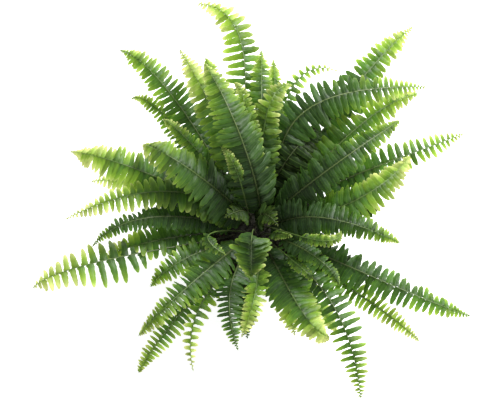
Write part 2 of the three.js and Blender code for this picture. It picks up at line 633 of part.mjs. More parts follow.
// The crown is a low lumpy dome over a plain foot that is sunk in the soil.
function crownGeometry(seats) {
  const positions = [];
  const indices = [];
  const ringStart = (ring) => 2 + ring * CROWN_SIDES;
  positions.push(0, 0, SOIL_LEVEL + crownHeight(0, 0), 0, 0, SOIL_LEVEL - CROWN_SUNK);
  for (let ring = 0; ring <= CROWN_RINGS; ring++) {
    const sunk = ring === CROWN_RINGS;
    const distance = sunk ? CROWN_RADIUS : (CROWN_RADIUS * (ring + 1)) / CROWN_RINGS;
    for (let side = 0; side < CROWN_SIDES; side++) {
      const bearing = (360 * side) / CROWN_SIDES;
      const z = sunk ? -CROWN_SUNK : crownHeight(distance, bearing);
      const point = onRing(bearing, distance, SOIL_LEVEL + z);
      positions.push(point.x, point.y, point.z);
    }
  }
  for (let side = 0; side < CROWN_SIDES; side++) {
    const next = (side + 1) % CROWN_SIDES;
    indices.push(0, ringStart(0) + side, ringStart(0) + next);
    indices.push(1, ringStart(CROWN_RINGS) + next, ringStart(CROWN_RINGS) + side);
    for (let ring = 0; ring < CROWN_RINGS; ring++) {
      const inner = ringStart(ring);
      const outer = ringStart(ring + 1);
      indices.push(inner + side, outer + side, outer + next, inner + side, outer + next, inner + next);
    }
  }
  const dome = new THREE.BufferGeometry();
  dome.setAttribute('position', new THREE.Float32BufferAttribute(positions, 3));
  dome.setIndex(indices);
  let crown = toSolid(dome);
  for (const seat of seats) crown = crown.subtract(seatHole(seat));
  return toGeometry(crown);
}

// The plant

const plant = new THREE.Group();

function addPiece(name, geometry, colour, roughness) {
  const material = new THREE.MeshStandardMaterial({ color: colour, roughness, metalness: 0 });
  const mesh = new THREE.Mesh(geometry, material);
  mesh.name = name;
  plant.add(mesh);
}

const fronds = FRONDS.map((frond, index) => {
  const number = index + 1;
  const owner = `frond_${String(number).padStart(2, '0')}`;
  return { frond, number, owner, ...frondStations(frond, number) };
});
const fiddleheads = FIDDLEHEADS.map((young, index) => (
  { owner: `fiddlehead_${index + 1}`, ...fiddleheadStations(young) }));
const seats = [...fronds, ...fiddleheads].map(({ stations }) => stations[0]);
[...fronds, ...fiddleheads].forEach(rememberRib);
addLeaflets(fronds);

addPiece('pot', potGeometry(), POT_COLOUR, POT_ROUGHNESS);
addPiece('soil', soilGeometry(), SOIL_COLOUR, SOIL_ROUGHNESS);
addPiece('crown', crownGeometry(seats), CROWN_COLOUR, SOIL_ROUGHNESS);
for (const { owner, stations, tip, leaflets } of fronds) {
  addPiece(owner, stemGeometry(stations, tip, leaflets), FROND_COLOUR, LEAF_ROUGHNESS);
}
for (const { owner, stations, tip } of fiddleheads) {
  addPiece(owner, stemGeometry(stations, tip), YOUNG_COLOUR, LEAF_ROUGHNESS);
}

export default plant;
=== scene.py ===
"""The looks of a sword fern in its grow pot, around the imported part. Metres, +Z up, +Y at the back.

Each frond follows the rib, droop and leaflet lengths of its CAD node. Building is in millimetres,
and a mesh is scaled when it is made.
"""
import itertools
import math

import bmesh
import bpy
import numpy as np
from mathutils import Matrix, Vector, kdtree


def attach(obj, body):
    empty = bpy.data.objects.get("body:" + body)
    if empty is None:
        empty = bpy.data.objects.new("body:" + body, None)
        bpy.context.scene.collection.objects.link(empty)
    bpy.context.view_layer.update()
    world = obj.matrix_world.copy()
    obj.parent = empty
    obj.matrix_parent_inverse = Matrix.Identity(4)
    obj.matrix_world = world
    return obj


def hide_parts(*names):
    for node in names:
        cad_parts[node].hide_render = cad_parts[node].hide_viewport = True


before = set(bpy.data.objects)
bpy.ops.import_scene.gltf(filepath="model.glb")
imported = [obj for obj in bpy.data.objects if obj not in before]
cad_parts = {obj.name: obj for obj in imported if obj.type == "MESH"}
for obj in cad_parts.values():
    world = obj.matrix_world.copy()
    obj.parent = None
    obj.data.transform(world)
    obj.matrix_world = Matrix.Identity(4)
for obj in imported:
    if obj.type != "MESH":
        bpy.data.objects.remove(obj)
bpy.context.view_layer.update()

MM = 0.001
UPRIGHT = np.array([0.0, 0.0, 1.0])

# ---- sizes of the part, millimetres
POT_HEIGHT, POT_RIM, POT_BASE, POT_WALL, POT_FLOOR = 150, 95, 66, 2.4, 3
BAND_HEIGHT, BAND_STEP = 20, 3
DRAIN_HOLES, DRAIN_RADIUS, DRAIN_RING = 6, 5, 42
SOIL_LEVEL, SOIL_MOUND = 133, 3
CROWN_RADIUS, CROWN_RISE, CROWN_SUNK, CROWN_LUMP = 46, 21, 15, 1.6
SEAT_DEPTH = 9
STALK_WIDTH, STALK_DEPTH, TIP_WIDTH, TIP_DEPTH = 3.6, 3.2, 1.3, 1.2
LAUNCH, VIA_SHARE, LAST_LEAFLET, CROWDING = 0.4, 0.6, 0.985, 1.2
TIP_CROWDING = 1.3  # of the leaflets here, which stand closer together than the part's
CAD_PITCH, CAD_SAG, SAG_LENGTH = 14, 2, 40
# Degrees: how the part's leaflets lean to the tip and droop, and a frond's greatest roll.
FORWARD_AT_FOOT, FORWARD_GAIN, FORWARD_SPREAD = -6, 26, 3
DROOP, LEAFLET_DROOP_SPREAD, FROND_DROOP_SPREAD, GREATEST_ROLL = 17, 7, 6, 14
LENGTH_SPREAD = 0.07  # of the part's leaflets, as a share
BENDS = (0, 9, -9, 18, -18, 28, -28, 40, -40)
SHORTENINGS = (1, 0.82, 0.62, 0.42)
SAME_CORNER = 0.00008  # metres
FROND_SEED, FIDDLEHEAD_SEED, GRIT_SEED, SCALES_SEED = 1000, 2000, 77, 31

# Each frond: bearing and distance of its foot, lean, via point, tip, longest leaflet, share of bare
# stalk, how fresh its green is, and for some the via point's place on the curve and the bearing that
# the foot leans to. 9 are at the back, 11 right, 9 front, 9 left, 5 young, 8 low and 4 inner ones.
FRONDS = [
    (98, 33, 35, (-19, 250, 133), (-93, 346, 95), 42, 0.2, 0.3, 0.67, 161),
    (84, 40, 28, (9, 133, 135), (10, 263, 105), 31, 0.2, 0.25),
    (76, 41, 34, (28, 132, 115), (29, 256, 85), 24, 0.25, 0.3),
    (115, 27, 15, (-42, 97, 170), (-118, 252, 140), 39, 0.12, 0.36, 0.66, 107),
    (50, 11, 8, (-22, 83, 225), (-77, 207, 200), 44, 0.07, 0.18),
    (105, 41, 34, (-50, 158, 128), (-78, 249, 108), 26, 0.25, 0.3),
    (84, 19, 10, (-10, 112, 193), (-32, 178, 190), 24, 0.12, 0.4),
    (76, 26, 16, (16, 131, 165), (57, 189, 150), 34, 0.1, 0.4, 0.62),
    (68, 41, 36, (58, 202, 100), (133, 239, 75), 19, 0.38, 0.35, 0.66),
    (54, 33, 44, (125, 174, 142), (268, 197, 118), 42, 0.26, 0.12, 0.78, 51),
    (51, 43, 42, (144, 183, 112), (254, 315, 75), 37, 0.2, 0.1),
    (35, 42, 42, (149, 127, 102), (260, 205, 65), 36, 0.2, 0.35),
    (16, 16, 14, (112, 50, 170), (223, 137, 135), 34, 0.07, 0.1),
    (24, 41, 42, (258, 98, 108), (328, 132, 85), 34, 0.2, 0.22, 0.76, 30),
    (-6, 31, 24, (143, 3, 145), (238, 85, 120), 44, 0.07, 0.3),
    (-18, 20, 17, (97, -21, 150), (221, -51, 110), 32, 0.1, 0.02, 0.62, -16),
    (-30, 39, 36, (199, -113, 110), (330, -156, 70), 37, 0.12, 0.22),
    (-42, 26, 16, (86, -79, 150), (126, -119, 120), 18, 0.3, 0.08),
    (-40, 44, 46, (159, -125, 82), (253, -191, 45), 27, 0.2, 0.4),
    (-51, 37, 44, (88, -107, 112), (160, -281, 55), 33, 0.24, 0.28, 0.49, -59),
    (-66, 33, 26, (63, -151, 135), (112, -193, 95), 44, 0.1, 0.15),
    (-61, 44, 44, (82, -125, 80), (127, -178, 48), 28, 0.24, 0.35),
    (-92, 14, 10, (-5, -58, 197), (-6, -104, 112), 33, 0.62, 0.12, 0.6),
    (-84, 40, 36, (0, -124, 95), (-21, -190, 78), 25, 0.24, 0.5),
    (-106, 38, 31, (-37, -118, 105), (-26, -212, 90), 29, 0.2, 0.02, 0.59, -104),
    (-127, 29, 26, (-98, -121, 135), (-176, -191, 95), 35, 0.07, 0.27, 0.61, -113),
    (-125, 43, 45, (-127, -170, 80), (-179, -238, 35), 28, 0.2, 0.34, 0.62),
    (-113, 43, 42, (-75, -128, 85), (-95, -236, 40), 22, 0.24, 0.42, 0.56, -103),
    (-146, 43, 42, (-107, -68, 80), (-162, -106, 50), 27, 0.24, 0.38),
    (-157, 36, 36, (-240, -82, 115), (-341, -114, 75), 42, 0.45, 0.24, 0.64, -142),
    (-170, 28, 22, (-150, -18, 142), (-248, -57, 110), 25, 0.09, 0),
    (-166, 43, 42, (-146, -42, 95), (-235, -65, 70), 35, 0.2, 0.25),
    (174, 20, 18, (-136, 17, 160), (-288, -19, 130), 35, 0.08, 0.42, 0.65, 176),
    (163, 34, 26, (-164, 48, 150), (-286, 93, 115), 48, 0.12, 0.28, 0.59, 159),
    (150, 15, 12, (-99, 41, 200), (-170, 92, 155), 44, 0.08, 0.17),
    (126, 41, 34, (-124, 175, 120), (-216, 271, 85), 35, 0.2, 0.28),
    (139, 42, 42, (-130, 145, 90), (-198, 195, 65), 23, 0.24, 0.3),
    (132, 27, 20, (-88, 81, 160), (-141, 137, 140), 23, 0.1, 0.3),
    (170, 7, 4, (-33, 50, 196), (-51, 72, 208), 12, 0.66, 0.36, 0.75, 190),
    (-60, 18, 10, (38, -36, 104), (56, -42, 116), 9, 0.5, 0.42),
    (-30, 9, 6, (84, -58, 165), (128, -42, 152), 9, 0.6, 0.42, 0.6),
    (-130, 17, 10, (-72, -46, 124), (-45, -71, 120), 9, 0.72, 0.3, 0.74),
    (-59, 24, 20, (63, -89, 132), (83, -106, 125), 9, 0.6, 0.35),
    # Low fronds, then inner ones. A freshness of 0 darkens most of them as painted shade.
    (4, 43, 54, (118, 10, 60), (198, 24, 36), 34, 0.12, 0),
    (-18, 43, 54, (112, -56, 56), (186, -98, 30), 32, 0.12, 0),
    (-73, 43, 52, (40, -112, 54), (62, -178, 22), 30, 0.12, 0.5),
    (-97, 43, 52, (-16, -114, 54), (-12, -182, 20), 30, 0.12, 0),
    (178, 43, 54, (-114, 2, 58), (-196, 4, 34), 34, 0.12, 0),
    (156, 43, 54, (-178, 54, 60), (-259, 64, 46), 33, 0.12, 0.5),
    (92, 42, 50, (-14, 112, 60), (-26, 188, 34), 32, 0.12, 0),
    (43, 42, 52, (86, 88, 56), (142, 146, 30), 32, 0.12, 0),
    (67, 31, 30, (48, 82, 100), (100, 142, 86), 36, 0.1, 0),
    (60, 43, 48, (36, 98, 72), (74, 178, 52), 34, 0.12, 0),
    (-100, 5, 8, (8, -4, 96), (34, -28, 128), 25, 0.3, 0.15, 0.55),
    (120, 13, 12, (-19, 5, 92), (-46, -14, 124), 25, 0.3, 0.15, 0.55),
]
# Coiled young fronds: bearing, distance, lean, height, coil radius, heading.
FIDDLEHEADS = [(22, 29, 14, 58, 7, 0), (-85, 27, 16, 58, 6, -70)]
COIL_TURNS, COIL_TIGHTENING, FUZZ_HAIRS = 1.45, 0.72, 330

# Habits of single fronds: the leaflets' mean distance in millimetres, their width near the foot
# and near the tip as a share of their distance, and how much fresher the green is at the tip.
HABITS = {
    1: (12.5, 0.65, 0.9, 0.75), 4: (9.5, 1.2, 1.05, 0.7), 5: (7.4, 1.2, 1.1, 0.65),
    8: (9.5, 1.15, 1, 0.5), 9: (11, 0.75, 0.75, 0.5), 10: (9.8, 1.15, 0.88, 0.7),
    11: (10.6, 1.25, 1, 0.85), 13: (8, 1.2, 1.05, 0.6), 14: (11.5, 1.35, 0.7, 0.65),
    15: (9, 1.3, 1.15, 0.7), 16: (6.8, 1.25, 1.1, 0.75), 17: (10.2, 1.15, 0.96, 0.36),
    18: (6.4, 1.2, 0.9, 0.5), 19: (8.2, 1, 0.88, 0.6), 20: (11.6, 0.8, 0.7, 0.42),
    21: (8.8, 1.3, 1.25, 1), 22: (9, 1.15, 1, 0.7), 23: (7.4, 1.2, 1.1, 0.6),
    24: (8.2, 1.15, 1, 0.5), 25: (7.8, 1.1, 0.9, 0.5), 26: (8.2, 1.15, 0.95, 0.6),
    27: (8.2, 1, 0.84, 0.5), 28: (12.5, 0.8, 0.7, 0.65), 29: (7.8, 1.15, 1, 0.25),
    30: (13.5, 0.72, 0.76, 0.85), 31: (7.8, 1.15, 1, 0.7), 32: (9.6, 1.2, 1.1, 0.65),
    33: (10.4, 1.25, 0.88, 0.65), 34: (7.8, 1.25, 1.15, 0.8), 35: (7.6, 1.25, 1.15, 0.8),
    36: (8.8, 1.05, 0.95, 0.42), 39: (4.8, 1.2, 1.1, 0.35), 40: (4.8, 1.2, 1.1, 0.3),
    41: (4.8, 1.2, 1.1, 0.3), 42: (4.8, 1.2, 1.1, 0.2), 43: (4.8, 1.2, 1.1, 0.2),
    47: (8.8, 1.6, 1.4, 0.4), 54: (7.7, 1.1, 0.95, 0.5), 55: (7.7, 1.1, 0.95, 0.5),
}
PALE_RIBS = (4, 5, 10, 13)
# Painted shade: these low and inner fronds get a darker tone, darker ribs and the dimmed leaf copy.
SHADED = (44, 45, 48, 50, 51, 52, 53, 54, 55)  # low and inner fronds with darker leaves
# Widths and freshness of the fronds that HABITS leaves out. Their distance follows their length.
# The shaded habit's low freshening is part of the painted shade of those fronds.
SHADED_HABIT, USUAL_HABIT = (1.6, 1.4, 0.2), (1.1, 0.95, 0.5)
# Fronds whose leaflets are longer than the part's, and by how much.
FULLER = {40: 1.3, 41: 1.3, 42: 1.45, 43: 1.3, 51: 1.2, 52: 1.25, 53: 1.3}
# How much further than the part's the leaflets lean to the tip, and droop, in degrees.
LEANING, USUAL_LEANING = {13: -10, 17: -18, 26: -12, 27: -12, 30: -8, 36: 0}, -5
MORE_DROOP = 3
# How long the last leaflets stay, against what the part's shape law gives.
ENDING = dict.fromkeys((1, 12, 13, 15, 16, 19, 20, 21, 26, 27), 0.85) | {
    30: 0.4, 33: 0.5, 34: 0.3, 36: 0.45, 52: 1.15, 53: 1.15}
USUAL_ENDING, ENDING_FROM, STAGGER = 0.58, 0.76, 0.22
# How far leaflets depart from their frond's habit: length, width, lean and droop (degrees), tone.
LENGTH_VARIES, WIDTH_VARIES, LEAN_VARIES, DROOP_VARIES, TONE_VARIES = 0.12, 0.09, 5, 9, 0.52


# ---- small tools
def smooth(value):
    x = np.clip(value, 0, 1)
    return x * x * (3 - 2 * x)


def lerp(a, b, share):
    return a + (b - a) * share


def unit(vectors):
    return vectors / np.linalg.norm(vectors, axis=-1, keepdims=True)


def draw(frond, leaflet, purpose):
    """A repeatable draw from -1 to 1, the same as the part's."""
    wave = np.sin(frond * 12.9898 + leaflet * 78.233 + purpose * 37.719) * 43758.5453
    return (wave - np.floor(wave)) * 2 - 1


def on_ring(bearing, radius, z):
    angle = math.radians(bearing)
    return np.array([math.cos(angle) * radius, math.sin(angle) * radius, z])


def crown_height(distance, bearing):
    share = distance / CROWN_RADIUS
    dome = CROWN_RISE * np.sqrt(np.maximum(1 - share * share, 0))
    lumps = np.sin(5 * np.radians(bearing)) * np.sin(3 * math.pi * share) * share
    return dome + CROWN_LUMP * lumps


def foot_of(bearing, out):
    return on_ring(bearing, out, SOIL_LEVEL + float(crown_height(out, bearing)))


def lean_towards(bearing, lean):
    return on_ring(bearing, math.sin(math.radians(lean)), math.cos(math.radians(lean)))


class Piece:
    """Collects vertices in millimetres, faces and per-vertex values, and makes one mesh object."""

    def __init__(self):
        self.points, self.faces, self.slots, self.values, self.count = [], [], [], [], 0

    def add(self, points, face_groups, slot=0, **values):
        """Adds vertices and the faces on them, one array for each number of corners."""
        points = points.reshape(-1, 3)
        for faces in face_groups:
            self.faces.append(faces + self.count)
            self.slots.append(np.full(len(faces), slot))
        self.points.append(points)
        self.values.append({name: np.broadcast_to(value, len(points)) for name, value in values.items()})
        self.count += len(points)

    def make(self, name, materials):
        mesh = bpy.data.meshes.new(name)
        mesh.vertices.add(self.count)
        mesh.vertices.foreach_set("co", (np.concatenate(self.points) * MM).ravel())
        sizes = np.concatenate([np.full(len(f), f.shape[1]) for f in self.faces])
        corners = np.concatenate([f.ravel() for f in self.faces])
        mesh.loops.add(len(corners))
        mesh.loops.foreach_set("vertex_index", corners)
        mesh.polygons.add(len(sizes))
        mesh.polygons.foreach_set("loop_start", np.concatenate([[0], np.cumsum(sizes)[:-1]]))
        mesh.polygons.foreach_set("material_index", np.concatenate(self.slots))
        mesh.polygons.foreach_set("use_smooth", np.ones(len(sizes), bool))
        for key in sorted({key for values in self.values for key in values}):
            data = np.concatenate([values.get(key, np.zeros(len(points)))
                                   for values, points in zip(self.values, self.points)])
            mesh.attributes.new(key, "FLOAT", "POINT").data.foreach_set("value", data)
        mesh.update(calc_edges=True)
        mesh.validate()
        for material in materials:
            mesh.materials.append(material)
        return add_object(name, mesh)


def grid_faces(rows, columns, joined=False):
    """Quads of a grid of vertices, with its last column joined to the first if it goes round."""
    row = np.arange(rows - 1)[:, None]
    column = np.arange(columns if joined else columns - 1)[None, :]
    after = (column + 1) % columns
    quads = np.stack([row * columns + column, row * columns + after,
                      (row + 1) * columns + after, (row + 1) * columns + column], -1)
    return quads.reshape(-1, 4)


def closed_faces(rows, columns, flip=False):
    """Face groups of a round grid that is closed by two end points, which come after its rows."""
    column = np.arange(columns)
    after = (column + 1) % columns
    last = (rows - 1) * columns
    first_end = np.full(columns, rows * columns)
    fans = np.concatenate([np.stack([first_end, after, column], 1),
                           np.stack([first_end + 1, last + column, last + after], 1)])
    quads = grid_faces(rows, columns, joined=True)
    return [quads[:, ::-1], fans[:, [0, 2, 1]]] if flip else [quads, fans]


def add_object(name, data):
    """Puts a mesh, light or camera in the scene."""
    made = bpy.data.objects.new(name, data)
    bpy.context.scene.collection.objects.link(made)
    return made


def settle(piece, node):
    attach(piece, "root")
    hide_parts(node)


# ---- materials
class Look:
    """A material whose nodes are added one at a time. An input is a number, a colour or a socket."""

    def __init__(self, name):
        self.material = bpy.data.materials.new(name)
        self.material.use_nodes = True
        self.tree = self.material.node_tree
        self.tree.nodes.clear()

    def node(self, kind, inputs=(), **settings):
        made = self.tree.nodes.new(f"ShaderNode{kind}")
        for key, value in settings.items():
            setattr(made, key, value)
        for key, value in dict(inputs).items():
            socket = made.inputs[key]
            if isinstance(value, bpy.types.NodeSocket):
                self.tree.links.new(value, socket)
            else:
                socket.default_value = (*value, 1) if isinstance(value, tuple) else value
        return made

    def value(self, name):
        return self.node("Attribute", attribute_name=name).outputs["Fac"]

    def math(self, operation, *inputs, clamp=False):
        made = self.node("Math", enumerate(inputs), operation=operation, use_clamp=clamp)
        return made.outputs[0]

    def ramp(self, factor, stops):
        made = self.node("ValToRGB", {"Fac": factor})
        band = made.color_ramp
        while len(band.elements) < len(stops):
            band.elements.new(0.5)
        for element, (place, colour) in zip(band.elements, stops):
            element.position = place
            element.color = (*colour, 1) if isinstance(colour, tuple) else (colour,) * 3 + (1,)
        return made.outputs[0]

    def mix(self, factor, a, b, blend="MIX"):
        made = self.node("Mix", {0: factor, 6: a, 7: b}, data_type="RGBA", blend_type=blend)
        return made.outputs[2]

    def place(self):
        return self.node("TexCoord").outputs["Object"]

    def noise(self, scale, detail=3, roughness=0.55):
        inputs = {"Vector": self.place(), "Scale": scale, "Detail": detail, "Roughness": roughness}
        return self.node("TexNoise", inputs).outputs["Fac"]

    def uneven(self, value, noise, spread, clamp=True):
        """The value, raised and lowered by a noise that runs from 0 to 1."""
        return self.math("MULTIPLY_ADD", self.math("SUBTRACT", noise, 0.5), spread, value, clamp=clamp)

    def bump(self, height, distance, strength=1):
        inputs = {"Height": height, "Distance": distance, "Strength": strength}
        return self.node("Bump", inputs).outputs[0]

    def principled(self, colour, roughness, normal=None, **constants):
        inputs = {"Base Color": colour, "Roughness": roughness, **constants}
        if normal is not None:
            inputs["Normal"] = normal
        return self.node("BsdfPrincipled", inputs).outputs[0]

    def finish(self, shader):
        self.node("OutputMaterial", {"Surface": shader})
        return self.material

    def finish_plain(self, body, mask, low, high, normal=None, **constants):
        """Ends with one shader, whose roughness runs from low to high as the mask does."""
        roughness = self.ramp(mask, [(0, low), (1, high)])
        return self.finish(self.principled(body, roughness, normal, **constants))


def leaf_look(name, sheen, dimming):
    """A thin leaf blade: deep to fresh green, veined, satin, with light coming through it, and with
    painted shade and highlight.
    """
    look = Look(name)
    fresh, tone, vein = look.value("fresh"), look.value("tone"), look.value("vein")
    beside = look.math("ABSOLUTE", look.value("across"))
    shade = look.uneven(fresh, look.noise(38, 2), 0.35, clamp=False)
    # painted highlight: the green is lighter towards the leaflet's edges
    shade = look.math("MULTIPLY_ADD", look.math("POWER", beside, 4), 0.14, shade, clamp=True)
    body = look.ramp(shade, [
        (0, (0.019, 0.05, 0.017)), (0.3, (0.039, 0.094, 0.018)),
        (0.6, (0.124, 0.218, 0.02)), (1, (0.545, 0.59, 0.19))])
    # The tone darkens the colour: a random spread, and painted shade near a frond's foot and on shaded
    # fronds.
    depth = look.ramp(look.math("MULTIPLY_ADD", tone, 0.5, 0.5), [
        (place, share * dimming) for place, share in ((0, 0.2), (0.12, 0.56), (0.5, 0.98), (1, 1.42))])
    body = look.mix(1, body, depth, "MULTIPLY")
    # painted shade: the foot of a leaflet, by the rib, is darker, the more so the less fresh the leaflet
    # is
    rib_shade_strength = look.math("MULTIPLY_ADD", fresh, -0.9, 1, clamp=True)
    painted_rib_shade = look.ramp(look.math("MULTIPLY", vein, 0.1), [(0, 0.34), (0.9, 1)])
    body = look.mix(rib_shade_strength, body, painted_rib_shade, "MULTIPLY")
    # side veins run forward from the midrib to the edge; they and the midrib are paler, and the edge is
    # lighter as a painted highlight
    run = look.math("MULTIPLY_ADD", beside, -2.2, vein)
    ridges = look.math("SINE", look.math("MULTIPLY", run, 4.4))
    veins = look.math("MULTIPLY_ADD", ridges, 0.5, 0.5)
    midrib = look.math("MULTIPLY_ADD", beside, -11, 1, clamp=True)
    margin = look.math("POWER", beside, 9)
    for mask, share, colour in ((veins, 0.1, (0.2, 0.34, 0.06)), (midrib, 0.4, (0.16, 0.27, 0.05)),
                                (margin, 0.3, (0.2, 0.33, 0.07))):
        body = look.mix(look.math("MULTIPLY", mask, share), body, colour)
    grain = look.noise(1400, 2)
    height = look.math("MULTIPLY_ADD", veins, 0.5, look.math("MULTIPLY_ADD", grain, 0.35, midrib))
    normal = look.bump(height, 0.00025, 0.6)
    gloss = look.math("MULTIPLY_ADD", look.noise(90), 0.2, 0.32)
    skin = look.principled(body, gloss, normal, **{"Specular IOR Level": sheen})
    through = look.ramp(shade, [
        (0, (0.03, 0.09, 0.006)), (0.35, (0.085, 0.22, 0.01)),
        (0.65, (0.36, 0.56, 0.05)), (1, (0.77, 0.82, 0.3))])
    through = look.mix(1, through, depth, "MULTIPLY")
    glow = look.node("BsdfTranslucent", {"Color": through, "Normal": normal}).outputs[0]
    return look.finish(look.node("MixShader", {0: 0.36, 1: skin, 2: glow}).outputs[0])


def rib_look():
    """The frond's rib: brown and scurfy at its foot, olive, then the green of the young tip."""
    look = Look("rib_and_stalk")
    along = look.value("along")
    streaks = look.noise(260, 4)
    body = look.ramp(look.uneven(along, streaks, 0.3), [
        (0, (0.02, 0.02, 0.01)), (0.12, (0.036, 0.046, 0.015)),
        (0.4, (0.064, 0.1, 0.022)), (0.75, (0.1, 0.185, 0.026)), (1, (0.33, 0.46, 0.07))])
    pale = look.math("MULTIPLY", look.value("pale"), look.math("MINIMUM", along, 0.7))
    body = look.mix(pale, body, (0.14, 0.19, 0.055))
    return look.finish_plain(body, streaks, 0.42, 0.62, look.bump(look.noise(900), 0.0003, 0.6))


def scale_look(name, pale, dark):
    """Chaffy scales and hairs."""
    look = Look(name)
    body = look.ramp(look.noise(420), [(0.3, dark), (0.7, pale)])
    normal = look.bump(look.noise(1800, 2), 0.0002, 0.5)
    return look.finish_plain(body, look.noise(300), 0.6, 0.85, normal)


def young_look():
    """Tender coiled fronds under a thin silvery fuzz."""
    look = Look("young_frond")
    mottle = look.noise(330)
    body = look.ramp(look.uneven(look.value("along"), mottle, 0.35), [
        (0, (0.075, 0.06, 0.022)), (0.35, (0.16, 0.24, 0.05)), (1, (0.37, 0.5, 0.12))])
    return look.finish_plain(body, mottle, 0.45, 0.7, look.bump(look.noise(1100), 0.0003, 0.7),
                             **{"Sheen Weight": 0.35, "Sheen Roughness": 0.4})


def pot_look():
    """Near-black moulded plastic, with faint scuffs and dried splashes of soil low on its wall."""
    look = Look("pot_plastic")
    scuffs = look.noise(70, 6, 0.7)
    grain = look.noise(2200, 2)
    height = look.node("SeparateXYZ", {0: look.place()}).outputs["Z"]
    low = look.math("MULTIPLY_ADD", height, -9, 1, clamp=True)
    body = look.ramp(scuffs, [(0.35, (0.016, 0.015, 0.014)), (0.75, (0.034, 0.032, 0.03))])
    dust = look.math("MULTIPLY", look.ramp(look.noise(150, 5), [(0.52, 0), (0.72, 0.5)]), low)
    body = look.mix(dust, body, (0.12, 0.09, 0.062))
    gloss = look.ramp(scuffs, [(0.3, 0.42), (0.7, 0.62)])
    return look.finish(look.principled(body, gloss, look.bump(grain, 0.0002, 0.35)))


def soil_look():
    """Damp dark peat, darkened further as painted shade under the fronds."""
    look = Look("potting_soil")
    lumps = look.noise(210, 8, 0.7)
    body = look.ramp(lumps, [
        (0.3, (0.008, 0.006, 0.004)), (0.55, (0.022, 0.016, 0.01)), (0.8, (0.055, 0.039, 0.024))])
    normal = look.bump(look.noise(600, 8, 0.75), 0.0012)
    return look.finish_plain(body, lumps, 0.72, 0.98, normal)


def grit_look():
    """Bark chips, and perlite where the grain's own value is high."""
    look = Look("bark_and_perlite")
    rough = look.noise(500, 5, 0.7)
    bark = look.ramp(rough, [(0.3, (0.022, 0.013, 0.008)), (0.7, (0.105, 0.06, 0.033))])
    perlite = look.ramp(rough, [(0.2, (0.42, 0.4, 0.36)), (0.8, (0.72, 0.7, 0.66))])
    body = look.mix(look.value("white"), bark, perlite)
    return look.finish_plain(body, rough, 0.7, 0.95, look.bump(rough, 0.0008))


def crown_look():
    """The fibrous, scaly rootstock, coloured near-black as painted shade under the fronds."""
    look = Look("rootstock")
    fibres = look.noise(420, 7, 0.7)
    body = look.ramp(fibres, [
        (0.3, (0.006, 0.006, 0.003)), (0.6, (0.017, 0.015, 0.007)), (0.85, (0.042, 0.036, 0.017))])
    return look.finish_plain(body, fibres, 0.7, 0.92, look.bump(fibres, 0.0015))


def floor_look():
    """A pale, matt floor."""
    look = Look("studio_floor")
    cloud = look.noise(2, 2)
    body = look.ramp(cloud, [(0, (0.93, 0.93, 0.93)), (1, (0.95, 0.95, 0.95))])
    return look.finish_plain(body, cloud, 0.8, 0.9, **{
        "Specular IOR Level": 0.2, "Emission Color": (1, 1, 1), "Emission Strength": 0.68})


LEAF = leaf_look("leaf_blade", 0.34, 1.08)
# A copy of the leaf, dimmed to half and less glossy, as painted shade on the low and inner fronds.
SHADE_DIMMED_LEAF = leaf_look("shade_dimmed_low_leaf_blade", 0.12, 0.5)
RIB = rib_look()
SCALE = scale_look("rib_scales", (0.13, 0.11, 0.06), (0.045, 0.038, 0.02))
FUZZ = scale_look("young_fuzz", (0.55, 0.5, 0.38), (0.3, 0.22, 0.13))


# ---- ribs
class Rib:
    """A frond's rib as in the part: a cubic curve from its foot, by its via point, to its tip."""

    STEPS = 200

    def __init__(self, bearing, out, lean, via, tip, past=VIA_SHARE, towards=None):
        foot = foot_of(bearing, out)
        via = np.array(via, float) + UPRIGHT * SOIL_LEVEL
        tip = np.array(tip, float) + UPRIGHT * SOIL_LEVEL
        way = lean_towards(bearing if towards is None else towards, lean)
        first = foot + way * (np.linalg.norm(foot - via) * LAUNCH)
        left = 1 - past
        second = via - left ** 3 * foot - 3 * left * left * past * first - past ** 3 * tip
        self.corners = (foot, first, second / (3 * left * past * past), tip)
        self.t = np.linspace(0, 1, self.STEPS + 1)
        steps = np.linalg.norm(np.diff(self.on_curve(self.t), axis=0), axis=1)
        self.run = np.concatenate([[0], np.cumsum(steps)])
        self.length = self.run[-1]

    def on_curve(self, t):
        t = t[:, None]
        a, b, c, d = self.corners
        return (1 - t) ** 3 * a + 3 * (1 - t) ** 2 * t * b + 3 * (1 - t) * t * t * c + t ** 3 * d

    def frames(self, share, roll):
        """Point, heading, left side and upper side at shares of the rib's length. The sides are
        turned about it, by as much as roll at its tip."""
        share = np.asarray(share, float)
        t = np.interp(share * self.length, self.run, self.t)
        near = 1e-4
        along = unit(self.on_curve(np.minimum(t + near, 1)) - self.on_curve(np.maximum(t - near, 0)))
        level, turn = unit(np.cross(UPRIGHT, along)), (roll * share)[:, None]
        side = level * np.cos(turn) + np.cross(along, level) * np.sin(turn)
        return self.on_curve(t), along, side, np.cross(along, side)


def leaflet_shape(share):
    """Length of a leaflet as a share of the frond's longest."""
    return (0.62 + 0.38 * smooth(share / 0.25)) * (0.1 + 0.9 * np.maximum(1 - share ** 1.9, 0) ** 0.92)


def girth(share, tip=1):
    """Width and depth of a rib at shares of its length."""
    return lerp(STALK_WIDTH, TIP_WIDTH * tip, share), lerp(STALK_DEPTH, TIP_DEPTH * tip, share)


def leaf_station(bare, share):
    return bare + (1 - bare) * share * LAST_LEAFLET


